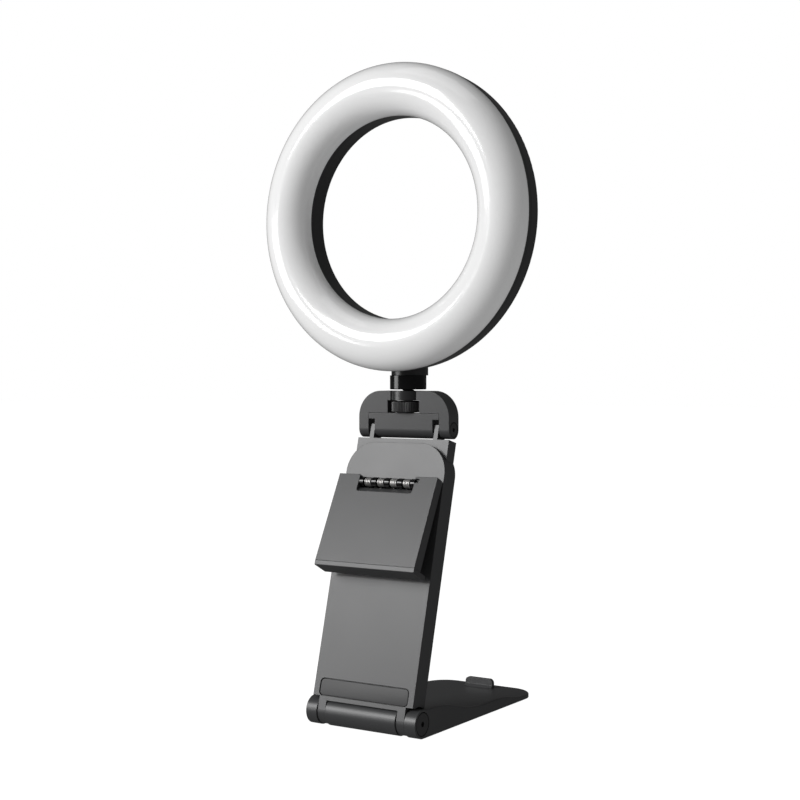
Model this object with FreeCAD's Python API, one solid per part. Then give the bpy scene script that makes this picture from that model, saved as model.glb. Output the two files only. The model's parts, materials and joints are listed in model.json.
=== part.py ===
"""Folding desk ring light: tray base, clip arm, telescoping slide, tilt bracket and LED ring.

Millimetres, +Z up, the lit side of the ring faces -Y. The origin is the middle of the
footprint, on the surface that the feet stand on.
"""
import FreeCAD, Part
import math
import os

V = FreeCAD.Vector
X_AXIS = V(1, 0, 0)
Y_AXIS = V(0, 1, 0)
Z_AXIS = V(0, 0, 1)

# ---------------------------------------------------------------- driving dimensions
# clearances and fits
running_gap = 0.05        # radial gap of a shaft that turns
seat_gap = 0.03           # radial gap of a pin or screw that stays put
slide_gap = 0.10          # between the slide and its channel
part_gap = 0.10           # between two bolted shells
fold_gap = 0.50           # between the arm and the tray walls

# tray base
base_length = 117.0       # hinge axis to rear edge
base_corner_r = 14.0
floor_thickness = 2.0
foot_proud = 0.25
wall_thickness = 2.2
wall_edge_r = 0.6
wall_front_height = 13.6
wall_mid_height = 5.8
wall_front_share = 0.034  # shares of the base's length where the wall's height turns
wall_mid_share = 0.53
wall_drop_share = 0.598
wall_end_share = 0.906
barrel_r = 6.95
lug_inset = 8.4           # arm's side to the inner face of its hinge lug
lug_width = 4.5
lug_side_gap = 0.35
axle_r = 2.5
cap_r = 5.4
cap_thickness = 2.6
cap_groove = 0.4
cap_edge_r = 0.25
cap_socket_across = 2.5
cap_socket_depth = 1.7
bolt_r = 1.5
bolt_length = 7.0
bolt_hole_spare = 1.0
bush_wall = 1.6
washer_thickness = 0.28
washer_inset = 0.9        # friction washer's rim inside the lug's rim
tab_width = 16.8
tab_height = 4.8
tab_thickness = 2.1
tab_setback = 6.4         # tab's rear face to the rear edge
tab_corner = 2.2
tab_toe = 1.4             # ramp at the foot of the tab
foot_length = 15.0
foot_width = 8.0
foot_depth = 1.0
foot_corner = 2.0
foot_inset_x = 9.0
foot_front_y = 16.0
foot_rear_setback = 16.0

# lower arm
lean_deg = 14.75          # the arm leans back from the vertical
arm_width = 58.2
arm_thickness = 10.4
arm_face = 6.45           # front face ahead of the hinge axis
arm_top = 134.7
arm_corner_r = 15.5
arm_foot = 6.6            # lower edge outside the lugs
apron_foot = 4.0          # lower edge between the lugs
barrel_relief = 0.9
front_wall = 3.15
side_wall = 1.95
channel_foot = 17.0
tongue_depth = 0.9
tongue_width = 2.0
tongue_from_back = 2.4
pad_inset = 3.5           # arm's side to the pad's side
pad_foot = 6.95
pad_top = 15.1
pad_recess = 1.1
pad_sunk = 0.25
pad_corner = 2.0
pad_outline = 0.3

# slide
slide_foot = 21.0
slide_above_arm = 2.8
groove_spare = 0.5        # guide groove's closed end above the tongue
travel = 70.0
stop_pin_r = 1.5
stop_pin_below_top = 9.0
stop_pin_bite = 1.6
stop_slot_depth = 2.4
slide_lug_inset = 9.3     # slide's side to the inner face of its lug
slide_lug_thickness = 2.5
slide_lug_rise = 2.0      # lug's flat top above the pivot
slide_lug_back = 3.2      # lug's rear face behind the pivot
slide_lug_front_r = 0.6
slide_lug_rear_r = 1.6
pivot_above_slide = 5.8
shoe_size = 12.0
shoe_length = 16.0
shoe_depth = 4.4
shoe_thickness = 2.3
shoe_play = 0.02
shoe_edge_r = 0.6
shoe_inset = 12.05        # slide's side to the middle of the shoe
shoe_above_foot = 22.0
leaf_thickness = 0.3
leaf_toe = 0.9
leaf_end_gap = 1.0
leaf_side_gap = 2.0

# tilt bracket
bracket_inset = 0.25      # bracket's side inside the slide's side
bracket_thickness = 9.3
bracket_rise = 19.25      # pivot to the flat top
bracket_corner_r = 13.2
block_rise = 8.05
lug_slot_rise = 5.0
lug_room_inner = 0.55     # washer rooms on both sides of a slide lug
lug_room_outer = 0.75
tilt_washer_r = 2.8
pivot_r = 1.1
pivot_head_r = 3.5
pivot_head_thickness = 2.0
pivot_groove = 0.35       # ring groove round the screw head and the nut
pivot_edge_r = 0.25
pivot_socket_across = 2.0
pivot_socket_depth = 1.3
pivot_end_gap = 0.6
nut_slot_half = 0.45
nut_slot_depth = 0.7
wheel_notch_rise = 14.45
wheel_r = 8.4
wheel_side_gap = 1.0
wheel_end_gap = 0.3
wheel_bevel = 0.6
wheel_teeth = 60
knurl_depth = 0.35
collar_r = 8.4
collar_recess_half = 7.62
collar_web = 0.575        # wall left between the stud's bore and the collar's recess
collar_key_r = 0.9
collar_key_x = 5.4
stud_r = 3.175            # quarter-inch camera thread
stud_core_r = 4.0
stud_reach = 9.3
stud_tip_bevel = 0.6
journal_r = 3.0
journal_depth = 4.0

# light head
neck_gap = 0.7
neck_r = 9.2
neck_visible = 7.05
neck_edge_r = 0.4
spigot_wall = 1.2
spigot_length = 15.6
boss_over_neck = 0.1      # boss radius beyond the neck's
boss_setback = 1.5        # boss axis behind the neck axis
boss_height = 18.0
boss_round = 4.0
thread_insert_r = 5.2
thread_insert_length = 10.5
insert_sunk = 0.4
stud_head_room = 4.0      # free depth above the insert
neck_screw_r = 1.5
neck_screw_head_r = 2.5
neck_screw_head = 1.2
neck_screw_drop = 4.0     # below the spigot's top
ring_outer_r = 76.2
ring_width = 26.1
diffuser_bulge = 12.0
diffuser_wall = 1.8
housing_depth = 11.5
housing_wall = 1.8
outer_taper = 0.7
inner_taper = 0.4
outer_round = 2.0
inner_round = 0.8
rim_skirt = 1.2
skirt_depth = 2.4
ring_ahead_of_neck = 14.2  # seam plane ahead of the neck axis
ring_bottom_above_neck = 9.1
board_setback = 1.6
board_thickness = 1.2
board_margin = 3.5
led_count = 60
led_size = 3.5
led_thickness = 0.7
led_length_share = 0.8    # LED's size along the ring over its size across
post_r = 2.6
post_root = 0.5           # post's bite into the rear wall
screw_count = 6
first_screw_deg = 0.0
screw_r = 1.0
screw_head_r = 1.9
screw_head_thickness = 1.1
screw_sunk = 0.2
cross_half_width = 0.2
cross_reach_share = 0.58
cross_depth = 0.55
control_board_thickness = 1.0
control_board_margin = 5.5
control_first_deg = -79.0
control_last_deg = -12.0
button_angles = (-18.0, -28.0, -38.0, -48.0)
button_names = ("power_button", "colour_button", "brighter_button", "dimmer_button")
button_r = 2.6
button_flange_over = 0.8
button_flange_thickness = 0.8
button_edge_r = 0.5
button_stem_r = 1.0
button_proud = 0.9
button_travel = 0.4
button_gap = 0.15
switch_width = 6.0
switch_height = 1.6
switch_floor = 0.3
switch_play = 0.1
usb_angle = -73.0
usb_width = 9.0
usb_height = 3.2
usb_wall = 0.35
usb_sunk = 0.2
usb_tongue_width = 6.6
usb_tongue_height = 0.9
usb_tongue_sunk = 1.2
usb_back_thickness = 1.0
link_angle = -38.0
link_outset = 6.0
link_length = 8.0
link_width = 2.6

# screen clip
clip_open_deg = 12.43     # the flap stands off the arm
flap_inset = 0.15         # flap's side inside the arm's side
flap_height = 46.6
flap_top_thickness = 5.2
flap_foot_thickness = 6.0
flap_axis_drop = 3.0
flap_axis_below_top = 21.29
flap_axis_ahead = 3.6     # ahead of the arm's front face
flap_back_round = 1.7
lip_thickness = 2.3
lip_depth = 11.2
lip_seam = 0.12
lip_slope_deg = 12.0
lip_front_r = 0.5
lip_back_r = 0.9
notch_inset = 12.55       # flap's side to the notch's side
notch_depth = 6.2
ramp_reach = 9.0          # foot of the ramp below the notch, from the flap's top
ramp_depth = 2.4
ramp_corner_r = 1.6
pin_window_width = 2.4    # small pocket beside the notch that shows the pin
pin_window_depth = 1.7
pin_window_foot = -0.2
pin_window_top = 1.9
flap_pin_r = 1.2
pin_left_cover = 1.5
pin_right_cover = 3.95
knuckle_r = 2.55
knuckle_width = 2.7
end_knuckle_width = 2.35
knuckle_end_gap = 0.2
hinge_plate_thickness = 1.2
hinge_plate_gap = 0.4
hinge_plate_reach = 16.41 # below the flap's axis
spring_r = 2.4
spring_wire_r = 0.47
spring_side_gap = 0.1
spring_bore_gap = 0.12
spring_room = 0.25
spring_leg_gap = 0.2      # end of a spring's leg to the notch's foot
clip_pad_thickness = 1.0
clip_pad_top = 10.0
clip_pad_foot = 39.5
clip_pad_inset = 3.95
clip_pad_corner = 2.0
clip_screw_r = 1.0
clip_screw_head_r = 1.9
clip_screw_head = 0.9
clip_screw_inset = 6.9    # notch's side to the screw
clip_screw_drop = 12.41   # below the flap's axis
clip_screw_slot_half = 0.2
clip_screw_slot_reach = 1.3
clip_screw_slot_depth = 0.35

# ---------------------------------------------------------------- derived places
hinge_z = barrel_r + foot_proud
hinge_y = -(base_length - barrel_r) / 2.0
tray_bottom = foot_proud
floor_top = foot_proud + floor_thickness
half_arm = arm_width / 2.0
half_base = half_arm + fold_gap + wall_thickness
lug_inner_x = half_arm - lug_inset
lug_outer_x = lug_inner_x + lug_width
knuckle_inner_x = lug_outer_x + lug_side_gap
barrel_half = lug_inner_x - lug_side_gap
pad_half_width = half_arm - pad_inset
arm_back = arm_thickness - arm_face
channel_floor = -arm_face + front_wall
slide_front = channel_floor + slide_gap
half_channel = half_arm - side_wall
half_slide = half_channel - slide_gap
slide_mid = (slide_front + arm_back) / 2.0
slide_top = arm_top + slide_above_arm
slide_lug_x = half_slide - slide_lug_inset
shoe_x = half_slide - shoe_inset
pivot_s = slide_top + pivot_above_slide
bracket_half = half_slide - bracket_inset
lug_slot_inner = slide_lug_x - lug_room_inner
block_half_width = slide_lug_x + slide_lug_thickness + lug_room_outer
collar_recess_depth = bracket_thickness / 2.0 - stud_r - collar_web
wheel_notch_half = wheel_r + wheel_side_gap
wheel_height = wheel_notch_rise - block_rise - 2.0 * wheel_end_gap
lean = math.radians(lean_deg)
neck_y_axis = hinge_y + slide_mid * math.cos(lean) + pivot_s * math.sin(lean)
pivot_z = hinge_z + pivot_s * math.cos(lean) - slide_mid * math.sin(lean)
bracket_top_z = pivot_z + bracket_rise
neck_foot_z = bracket_top_z + neck_gap
neck_shoulder_z = neck_foot_z + neck_visible
spigot_r = thread_insert_r + spigot_wall
boss_r = neck_r + boss_over_neck
boss_y_axis = neck_y_axis + boss_setback
ring_z = neck_foot_z + ring_bottom_above_neck + ring_outer_r
ring_inner_r = ring_outer_r - ring_width
seam_y = neck_y_axis - ring_ahead_of_neck
rear_y = seam_y + housing_depth
rear_inner_y = rear_y - housing_wall
ring_mid_r = (ring_outer_r + ring_inner_r) / 2.0
board_front_y = seam_y + board_setback
board_rear_y = board_front_y + board_thickness
board_outer_r = ring_outer_r - board_margin
board_inner_r = ring_inner_r + board_margin
button_flange_r = button_r + button_flange_over
flap_axis_y = -arm_face - flap_axis_ahead
flap_axis_above_hinge = arm_top - flap_axis_below_top
flap_half_width = half_arm - flap_inset
notch_half = flap_half_width - notch_inset
pin_right_x = flap_half_width - pin_right_cover
spring_leg = notch_depth - flap_axis_drop - spring_leg_gap
knuckle_pitch = (notch_half - knuckle_end_gap - end_knuckle_width + knuckle_width / 2.0) / 2.0
hinge_plate_foot = flap_axis_above_hinge - hinge_plate_reach
clip_pad_half = flap_half_width - clip_pad_inset
clip_screw_x = notch_half - clip_screw_inset
clip_screw_s = flap_axis_above_hinge - clip_screw_drop


# ---------------------------------------------------------------- modelling helpers
def box(x0, x1, y0, y1, z0, z1):
    return Part.makeBox(x1 - x0, y1 - y0, z1 - z0, V(x0, y0, z0))


def rod_x(x0, x1, y, z, r):
    return Part.makeCylinder(r, x1 - x0, V(x0, y, z), X_AXIS)


def rod_y(x, z, y0, y1, r):
    return Part.makeCylinder(r, y1 - y0, V(x, y0, z), Y_AXIS)


def rod_z(x, y, z0, z1, r):
    return Part.makeCylinder(r, z1 - z0, V(x, y, z0), Z_AXIS)


def tube_x(x0, x1, y, z, outer, inner):
    return rod_x(x0, x1, y, z, outer).cut(rod_x(x0, x1, y, z, inner))


def prism(points, direction):
    """A straight prism over a closed outline of points."""
    return Part.Face(Part.makePolygon(points + points[:1])).extrude(direction)


def fuse(shapes):
    """One solid of touching shapes."""
    whole = shapes[0]
    for shape in shapes[1:]:
        whole = whole.fuse(shape)
    return whole.removeSplitter()


def group(shapes):
    """Separate solids kept in one node."""
    return Part.makeCompound(shapes)


def round_edges(shape, radius, chosen):
    edges = [edge for edge in shape.Edges if chosen(edge)]
    return shape.makeFillet(radius, edges)


def along(edge, axis):
    """True for a straight edge parallel to axis."""
    if not isinstance(edge.Curve, Part.Line):
        return False
    return abs(abs(edge.Curve.Direction.dot(axis)) - 1.0) < 1e-6


def rounded_plate_z(x0, x1, y0, y1, z0, z1, r):
    plate = box(x0, x1, y0, y1, z0, z1)
    return round_edges(plate, r, lambda e: along(e, Z_AXIS))


def rounded_plate_y(x0, x1, y0, y1, z0, z1, r):
    plate = box(x0, x1, y0, y1, z0, z1)
    return round_edges(plate, r, lambda e: along(e, Y_AXIS))


def revolved_ring(outline, centre_y, centre_z):
    """Turns an outline of (radius, y) points, or edges in that plane, about the ring's axis."""
    face = Part.Face(Part.Wire(outline))
    solid = face.revolve(V(0, 0, 0), Y_AXIS, 360)
    solid.translate(V(0, centre_y, centre_z))
    return solid


def edge_loop(points):
    return [Part.makeLine(a, b) for a, b in zip(points, points[1:] + points[:1])]


def ring_point(angle_deg, radius):
    angle = math.radians(angle_deg)
    return radius * math.cos(angle), ring_z + radius * math.sin(angle)


def turned(shape, angle_deg, x, z):
    """Turns a shape about the Y direction through (x, z), counter-clockwise seen from the front."""
    copy = shape.copy()
    copy.rotate(V(x, 0, z), Y_AXIS, -angle_deg)
    return copy


def from_hinge(shape):
    """Places a shape drawn about the base hinge, with the arm upright, on the leaning arm."""
    placed = shape.copy()
    placed.rotate(V(0, 0, 0), X_AXIS, -lean_deg)
    placed.translate(V(0, hinge_y, hinge_z))
    return placed


def from_flap(shape):
    """Places a shape drawn about the flap's pin, with the flap upright."""
    placed = shape.copy()
    placed.rotate(V(0, 0, 0), X_AXIS, -clip_open_deg)
    placed.translate(V(0, flap_axis_y, flap_axis_above_hinge))
    return from_hinge(placed)


def from_pivot(shape):
    """Places a shape drawn about the bracket's pivot."""
    placed = shape.copy()
    placed.translate(V(0, neck_y_axis, pivot_z))
    return placed


def both_sides(shape):
    return [shape, shape.mirror(V(0, 0, 0), X_AXIS)]


# ---------------------------------------------------------------- tray base
def base_outline(height):
    """The footprint with its round rear corners, as a tall prism."""
    plate = box(-half_base, half_base, 0, base_length, 0, height)
    at_rear = base_length - 0.001
    return round_edges(plate, base_corner_r,
                       lambda e: along(e, Z_AXIS) and e.BoundBox.YMin > at_rear)


def s_curve(y0, z0, y1, z1):
    """A level-to-level swept edge between two wall heights."""
    reach = (y1 - y0) * 0.5
    poles = [V(0, y0, z0), V(0, y0 + reach, z0), V(0, y1 - reach, z1), V(0, y1, z1)]
    curve = Part.BezierCurve()
    curve.setPoles(poles)
    return curve.toShape()


def wall_profile():
    """Side view of the tray from the hinge axis to the rear edge, swept across its width."""
    front = V(0, 0, wall_front_height)
    shoulder = V(0, wall_front_share * base_length, wall_front_height)
    mid_a = V(0, wall_mid_share * base_length, wall_mid_height)
    mid_b = V(0, wall_drop_share * base_length, wall_mid_height)
    low = V(0, wall_end_share * base_length, floor_top)
    edges = [
        Part.makeLine(V(0, 0, tray_bottom), front),
        Part.makeLine(front, shoulder),
        s_curve(shoulder.y, shoulder.z, mid_a.y, mid_a.z),
        Part.makeLine(mid_a, mid_b),
        s_curve(mid_b.y, mid_b.z, low.y, low.z),
        Part.makeLine(low, V(0, base_length, floor_top)),
        Part.makeLine(V(0, base_length, floor_top), V(0, base_length, tray_bottom)),
        Part.makeLine(V(0, base_length, tray_bottom), V(0, 0, tray_bottom)),
    ]
    face = Part.Face(Part.Wire(edges))
    face.translate(V(-half_base, 0, 0))
    return face.extrude(V(2.0 * half_base, 0, 0))


def foot_places():
    rear_y_mid = base_length - foot_rear_setback
    for side in (-1, 1):
        yield side * (half_base - foot_inset_x), foot_front_y
        yield side * (half_base - foot_inset_x - foot_width / 2.0), rear_y_mid


def foot_shape(x, y, bottom, depth, grow):
    half_l = foot_length / 2.0 + grow
    half_w = foot_width / 2.0 + grow
    return rounded_plate_z(x - half_w, x + half_w, y - half_l, y + half_l,
                           bottom, bottom + depth, foot_corner + grow)


def make_base_tray():
    tall = wall_front_height + barrel_r
    shell = wall_profile().common(base_outline(tall))
    inner = half_arm + fold_gap
    shell = shell.cut(box(-inner, inner, -1, base_length + 1, floor_top, tall))
    shell = round_edges(shell, wall_edge_r, lambda e: e.BoundBox.ZMin > floor_top + 1.0
                        and abs(abs(e.BoundBox.XMax) - half_base) < 0.01
                        and e.BoundBox.XLength < 0.01)
    barrel = rod_x(-barrel_half, barrel_half, 0, hinge_z, barrel_r)
    knuckle = rod_x(knuckle_inner_x, half_base, 0, hinge_z, barrel_r)
    tray = fuse([shell, barrel] + both_sides(knuckle))
    slot_x0 = barrel_half
    slot_x1 = knuckle_inner_x
    slot_reach = arm_face + barrel_relief
    slot = box(slot_x0, slot_x1, -barrel_r - 1, slot_reach, 0, floor_top + 1)
    tab_y1 = base_length - tab_setback
    tab_y0 = tab_y1 - tab_thickness
    tab = box(-tab_width / 2.0, tab_width / 2.0, tab_y0, tab_y1,
              floor_top - 0.5, floor_top + tab_height)
    tab = round_edges(tab, tab_corner,
                      lambda e: along(e, Y_AXIS) and e.BoundBox.ZMin > floor_top)
    toe = prism([V(-tab_width / 2.0, tab_y0 - tab_toe, tray_bottom + 1.0),
                 V(-tab_width / 2.0, tab_y0 - tab_toe, floor_top),
                 V(-tab_width / 2.0, tab_y0, floor_top + tab_toe),
                 V(-tab_width / 2.0, tab_y0, tray_bottom + 1.0)], V(tab_width, 0, 0))
    tray = fuse([tray, tab, toe])
    for cutter in both_sides(slot):
        tray = tray.cut(cutter)
    tray = tray.cut(rod_x(-half_base - 1, half_base + 1, 0, hinge_z, axle_r + seat_gap))
    pocket = rod_x(half_base - cap_thickness - part_gap, half_base + 1, 0, hinge_z,
                   cap_r + cap_groove)
    for cutter in both_sides(pocket):
        tray = tray.cut(cutter)
    for x, y in foot_places():
        tray = tray.cut(foot_shape(x, y, tray_bottom - 0.5, foot_depth + 0.5, part_gap))
    return tray


def make_feet():
    return [foot_shape(x, y, 0, foot_proud + foot_depth, 0) for x, y in foot_places()]


def axle_half_length():
    return half_base - cap_thickness - 3.0 * part_gap


def make_axle():
    half = axle_half_length()
    axle = rod_x(-half, half, 0, hinge_z, axle_r)
    hole = rod_x(half - bolt_length, half + 1, 0, hinge_z, bolt_r + seat_gap)
    for cutter in both_sides(hole):
        axle = axle.cut(cutter)
    return axle


def hex_socket(across, depth):
    """A hexagonal recess along X, its mouth at x = 0."""
    corner_r = across / math.sqrt(3.0)
    points = []
    for k in range(6):
        angle = math.radians(60.0 * k)
        points.append(V(-depth, corner_r * math.cos(angle), corner_r * math.sin(angle)))
    return prism(points, V(depth + 1, 0, 0))


def make_axle_bolt():
    """The right-hand cap screw that closes the hinge."""
    head = rod_x(half_base - cap_thickness, half_base, 0, hinge_z, cap_r)
    head = head.makeFillet(cap_edge_r,
                           [e for e in head.Edges if e.BoundBox.XMin > half_base - 0.01])
    shank_end = axle_half_length() - bolt_length + bolt_hole_spare
    shank = rod_x(shank_end, half_base - cap_thickness, 0, hinge_z, bolt_r)
    socket = hex_socket(cap_socket_across, cap_socket_depth)
    socket.translate(V(half_base, 0, hinge_z))
    return fuse([head, shank]).cut(socket)


def make_friction_washers():
    washers = []
    for face in (barrel_half, lug_outer_x):
        x0 = face + (lug_side_gap - washer_thickness) / 2.0
        ring = tube_x(x0, x0 + washer_thickness, 0, hinge_z, arm_face - washer_inset,
                      axle_r + running_gap)
        washers += both_sides(ring)
    return washers


# ---------------------------------------------------------------- lower arm
def front_outline(half, foot, top, corner_r, y0, y1):
    """A flat plate seen from the front, its two top corners round."""
    plate = box(-half, half, y0, y1, foot, top)
    near_top = top - 0.001
    return round_edges(plate, corner_r,
                       lambda e: along(e, Y_AXIS) and e.BoundBox.ZMin > near_top)


def make_sleeve():
    body = front_outline(half_arm, apron_foot, arm_top, arm_corner_r, -arm_face, arm_back)
    outer_foot = box(lug_outer_x, half_arm + 1, -arm_face - 1, arm_back + 1,
                     apron_foot - 1, arm_foot)
    for cutter in both_sides(outer_foot):
        body = body.cut(cutter)
    body = body.cut(rod_x(-half_arm - 1, half_arm + 1, 0, 0, barrel_r + barrel_relief))
    channel = box(-half_channel, half_channel, channel_floor, arm_back + 1,
                  channel_foot, arm_top + 1)
    body = body.cut(channel)
    lug = fuse([rod_x(lug_inner_x, lug_outer_x, 0, 0, arm_face),
                box(lug_inner_x, lug_outer_x, -arm_face, arm_back, 0, channel_foot - 2)])
    tongue_y1 = arm_back - tongue_from_back
    tongue = box(half_channel - tongue_depth, half_channel + 0.2,
                 tongue_y1 - tongue_width, tongue_y1, channel_foot, arm_top - arm_corner_r)
    sleeve = fuse([body] + both_sides(lug) + both_sides(tongue))
    sleeve = sleeve.cut(rod_x(-half_arm, half_arm, 0, 0, axle_r + running_gap + bush_wall
                              + seat_gap))
    recess = rounded_plate_y(-pad_half_width - pad_outline, pad_half_width + pad_outline,
                             -arm_face - 1, -arm_face + pad_recess,
                             pad_foot - pad_outline, pad_top + pad_outline,
                             pad_corner + pad_outline)
    sleeve = sleeve.cut(recess)
    sleeve = sleeve.cut(rod_y(0, stop_pin_s(), channel_floor - stop_pin_bite,
                              channel_floor + 1, stop_pin_r + seat_gap))
    for x in (-clip_screw_x, clip_screw_x):
        sleeve = sleeve.cut(rod_y(x, clip_screw_s, -arm_face - 1,
                                  clip_screw_end() + part_gap, clip_screw_r + seat_gap))
    return sleeve


def make_lug_bushes():
    inner = axle_r + running_gap
    bush = tube_x(lug_inner_x, lug_outer_x, 0, 0, inner + bush_wall, inner)
    return both_sides(bush)


def make_arm_pad():
    return rounded_plate_y(-pad_half_width, pad_half_width, -arm_face + pad_sunk,
                           -arm_face + pad_recess, pad_foot, pad_top, pad_corner)


def stop_pin_s():
    return arm_top - stop_pin_below_top


def make_stop_pin():
    return rod_y(0, stop_pin_s(), channel_floor - stop_pin_bite,
                 slide_front + stop_slot_depth - 0.4, stop_pin_r)


def spring_gap():
    """Free width between two knuckles."""
    return knuckle_pitch - knuckle_width


def clip_screw_end():
    """Depth reached by the clip screws, short of the slide's channel."""
    return channel_floor - 0.2 * front_wall


def make_clip_hinge_block():
    plate_half = notch_half - hinge_plate_gap
    end_x = notch_half - knuckle_end_gap
    plate = box(-plate_half, plate_half, -arm_face - hinge_plate_thickness,
                -arm_face, hinge_plate_foot, flap_axis_above_hinge + knuckle_r)
    knuckles = []
    for k in range(-2, 3):
        x0 = k * knuckle_pitch - knuckle_width / 2.0
        x1 = min(x0 + knuckle_width, end_x)
        x0 = max(x0, -end_x)
        knuckles.append(rod_x(x0, x1, flap_axis_y, flap_axis_above_hinge, knuckle_r))
        knuckles.append(box(x0, x1, flap_axis_y, -arm_face,
                            flap_axis_above_hinge - knuckle_r,
                            flap_axis_above_hinge + knuckle_r))
    block = fuse([plate] + knuckles)
    block = block.cut(rod_x(-notch_half, notch_half, flap_axis_y, flap_axis_above_hinge,
                            flap_pin_r + running_gap))
    for k in range(-2, 2):
        x0 = k * knuckle_pitch + knuckle_width / 2.0
        block = block.cut(rod_x(x0, x0 + spring_gap(), flap_axis_y, flap_axis_above_hinge,
                                spring_r + spring_room))
    for x in (-clip_screw_x, clip_screw_x):
        block = block.cut(rod_y(x, clip_screw_s, -arm_face - 5, -arm_face + 1,
                                clip_screw_r + part_gap))
        block = block.cut(countersink(x, clip_screw_s, part_gap))
    return block


def countersink(x, s, grow):
    """The cone of a countersunk head, flush with the hinge plate."""
    return Part.makeCone(clip_screw_head_r + grow, clip_screw_r + grow, clip_screw_head,
                         V(x, -arm_face - hinge_plate_thickness, s), Y_AXIS)


def make_clip_screws():
    screws = []
    face = -arm_face - hinge_plate_thickness
    for x in (-clip_screw_x, clip_screw_x):
        head = countersink(x, clip_screw_s, 0)
        shank = rod_y(x, clip_screw_s, face + clip_screw_head, clip_screw_end(), clip_screw_r)
        slot = box(x - clip_screw_slot_reach, x + clip_screw_slot_reach, face - 1,
                   face + clip_screw_slot_depth, clip_screw_s - clip_screw_slot_half,
                   clip_screw_s + clip_screw_slot_half)
        screws.append(fuse([head, shank]).cut(slot))
    return screws


def coil_pack(x0, coils, pitch, bore):
    """A close-wound coil about the X axis: a sleeve with one round ridge for each turn."""
    valley = spring_r - spring_wire_r * 0.6
    x1 = x0 + coils * pitch
    edges = []
    for c in range(coils):
        a = x0 + c * pitch
        edges.append(Part.Arc(V(a, valley, 0), V(a + pitch / 2.0, spring_r, 0),
                              V(a + pitch, valley, 0)).toShape())
    edges.append(Part.makeLine(V(x1, valley, 0), V(x1, bore, 0)))
    edges.append(Part.makeLine(V(x1, bore, 0), V(x0, bore, 0)))
    edges.append(Part.makeLine(V(x0, bore, 0), V(x0, valley, 0)))
    return Part.Face(Part.Wire(edges)).revolve(V(0, 0, 0), X_AXIS, 360)


def make_clip_springs():
    """Four torsion springs on the pin, each a close-wound coil with a short leg."""
    springs = []
    coils = int(spring_gap() // (2.0 * spring_wire_r))
    pitch = (spring_gap() - 2.0 * spring_side_gap) / coils
    for k in range(-2, 2):
        x0 = k * knuckle_pitch + knuckle_width / 2.0 + spring_side_gap
        pack = coil_pack(x0, coils, pitch, flap_pin_r + spring_bore_gap)
        leg = Part.makeCylinder(spring_wire_r, spring_leg,
                                V(x0 + pitch / 2.0, spring_r - spring_wire_r - 0.1, 0),
                                V(0, 0, -1))
        spring = fuse([pack, leg])
        spring.translate(V(0, flap_axis_y, flap_axis_above_hinge))
        springs.append(spring)
    return springs


# ---------------------------------------------------------------- screen clip flap
def make_flap():
    foot = -(flap_height - flap_axis_drop)
    front = -flap_top_thickness / 2.0
    top_back = front + flap_top_thickness
    foot_back = front + flap_foot_thickness
    outline = [V(-flap_half_width, front, flap_axis_drop),
               V(-flap_half_width, top_back, flap_axis_drop),
               V(-flap_half_width, foot_back, foot),
               V(-flap_half_width, front, foot)]
    flap = prism(outline, V(2.0 * flap_half_width, 0, 0))
    flap = round_edges(flap, flap_back_round, lambda e: along(e, X_AXIS)
                       and e.BoundBox.ZMin > 0 and e.BoundBox.YMin > 0)
    notch_foot = flap_axis_drop - notch_depth
    flap = flap.cut(box(-notch_half, notch_half, front - 1, top_back + 3, notch_foot,
                        flap_axis_drop + 1))
    ramp_foot = flap_axis_drop - ramp_reach
    hollow = box(-notch_half, notch_half, front - 1, front + ramp_depth, ramp_foot,
                 flap_axis_drop + 1)
    hollow = round_edges(hollow, ramp_corner_r, lambda e: along(e, Y_AXIS)
                         and e.BoundBox.ZMax < ramp_foot + 0.01)
    ramp = prism([V(-notch_half, front - 1, ramp_foot),
                  V(-notch_half, front, ramp_foot),
                  V(-notch_half, front + ramp_depth, notch_foot),
                  V(-notch_half, front + ramp_depth, flap_axis_drop + 1),
                  V(-notch_half, front - 1, flap_axis_drop + 1)], V(2.0 * notch_half, 0, 0))
    flap = flap.cut(hollow.common(ramp))
    window = box(notch_half - 1, notch_half + pin_window_width, front - 1,
                 front + pin_window_depth, pin_window_foot, pin_window_top)
    flap = flap.cut(window)
    bore = rod_x(-flap_half_width - 1, pin_right_x + 2.0 * part_gap, 0, 0,
                 flap_pin_r + seat_gap)
    return flap.cut(bore)


def make_lip():
    top = -(flap_height - flap_axis_drop) - lip_seam
    front = -flap_top_thickness / 2.0
    back = front + lip_depth
    slope = lip_thickness * math.tan(math.radians(lip_slope_deg))
    lip = prism([V(-flap_half_width, front, top),
                 V(-flap_half_width, back, top),
                 V(-flap_half_width, back, top - lip_thickness),
                 V(-flap_half_width, front + slope, top - lip_thickness)],
                V(2.0 * flap_half_width, 0, 0))
    lip = round_edges(lip, lip_back_r, lambda e: along(e, X_AXIS)
                      and e.BoundBox.YMin > back - 0.01)
    return round_edges(lip, lip_front_r, lambda e: along(e, X_AXIS)
                       and e.BoundBox.YMin < front + slope + 0.01
                       and e.BoundBox.ZMax < top - lip_thickness + 0.01)


def flap_back_y(drop):
    """The flap's back face at a height below its pin."""
    share = (drop + flap_axis_drop) / flap_height
    return flap_top_thickness / 2.0 + (flap_foot_thickness - flap_top_thickness) * share


def make_clip_pad():
    top = flap_back_y(clip_pad_top)
    foot = flap_back_y(clip_pad_foot)
    outline = [V(-clip_pad_half, top, -clip_pad_top),
               V(-clip_pad_half, top + clip_pad_thickness, -clip_pad_top),
               V(-clip_pad_half, foot + clip_pad_thickness, -clip_pad_foot),
               V(-clip_pad_half, foot, -clip_pad_foot)]
    pad = prism(outline, V(2.0 * clip_pad_half, 0, 0))
    return round_edges(pad, clip_pad_corner, lambda e: e.BoundBox.XLength < 0.01
                       and e.BoundBox.YLength > 0.9 and e.BoundBox.ZLength < 0.1)


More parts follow.
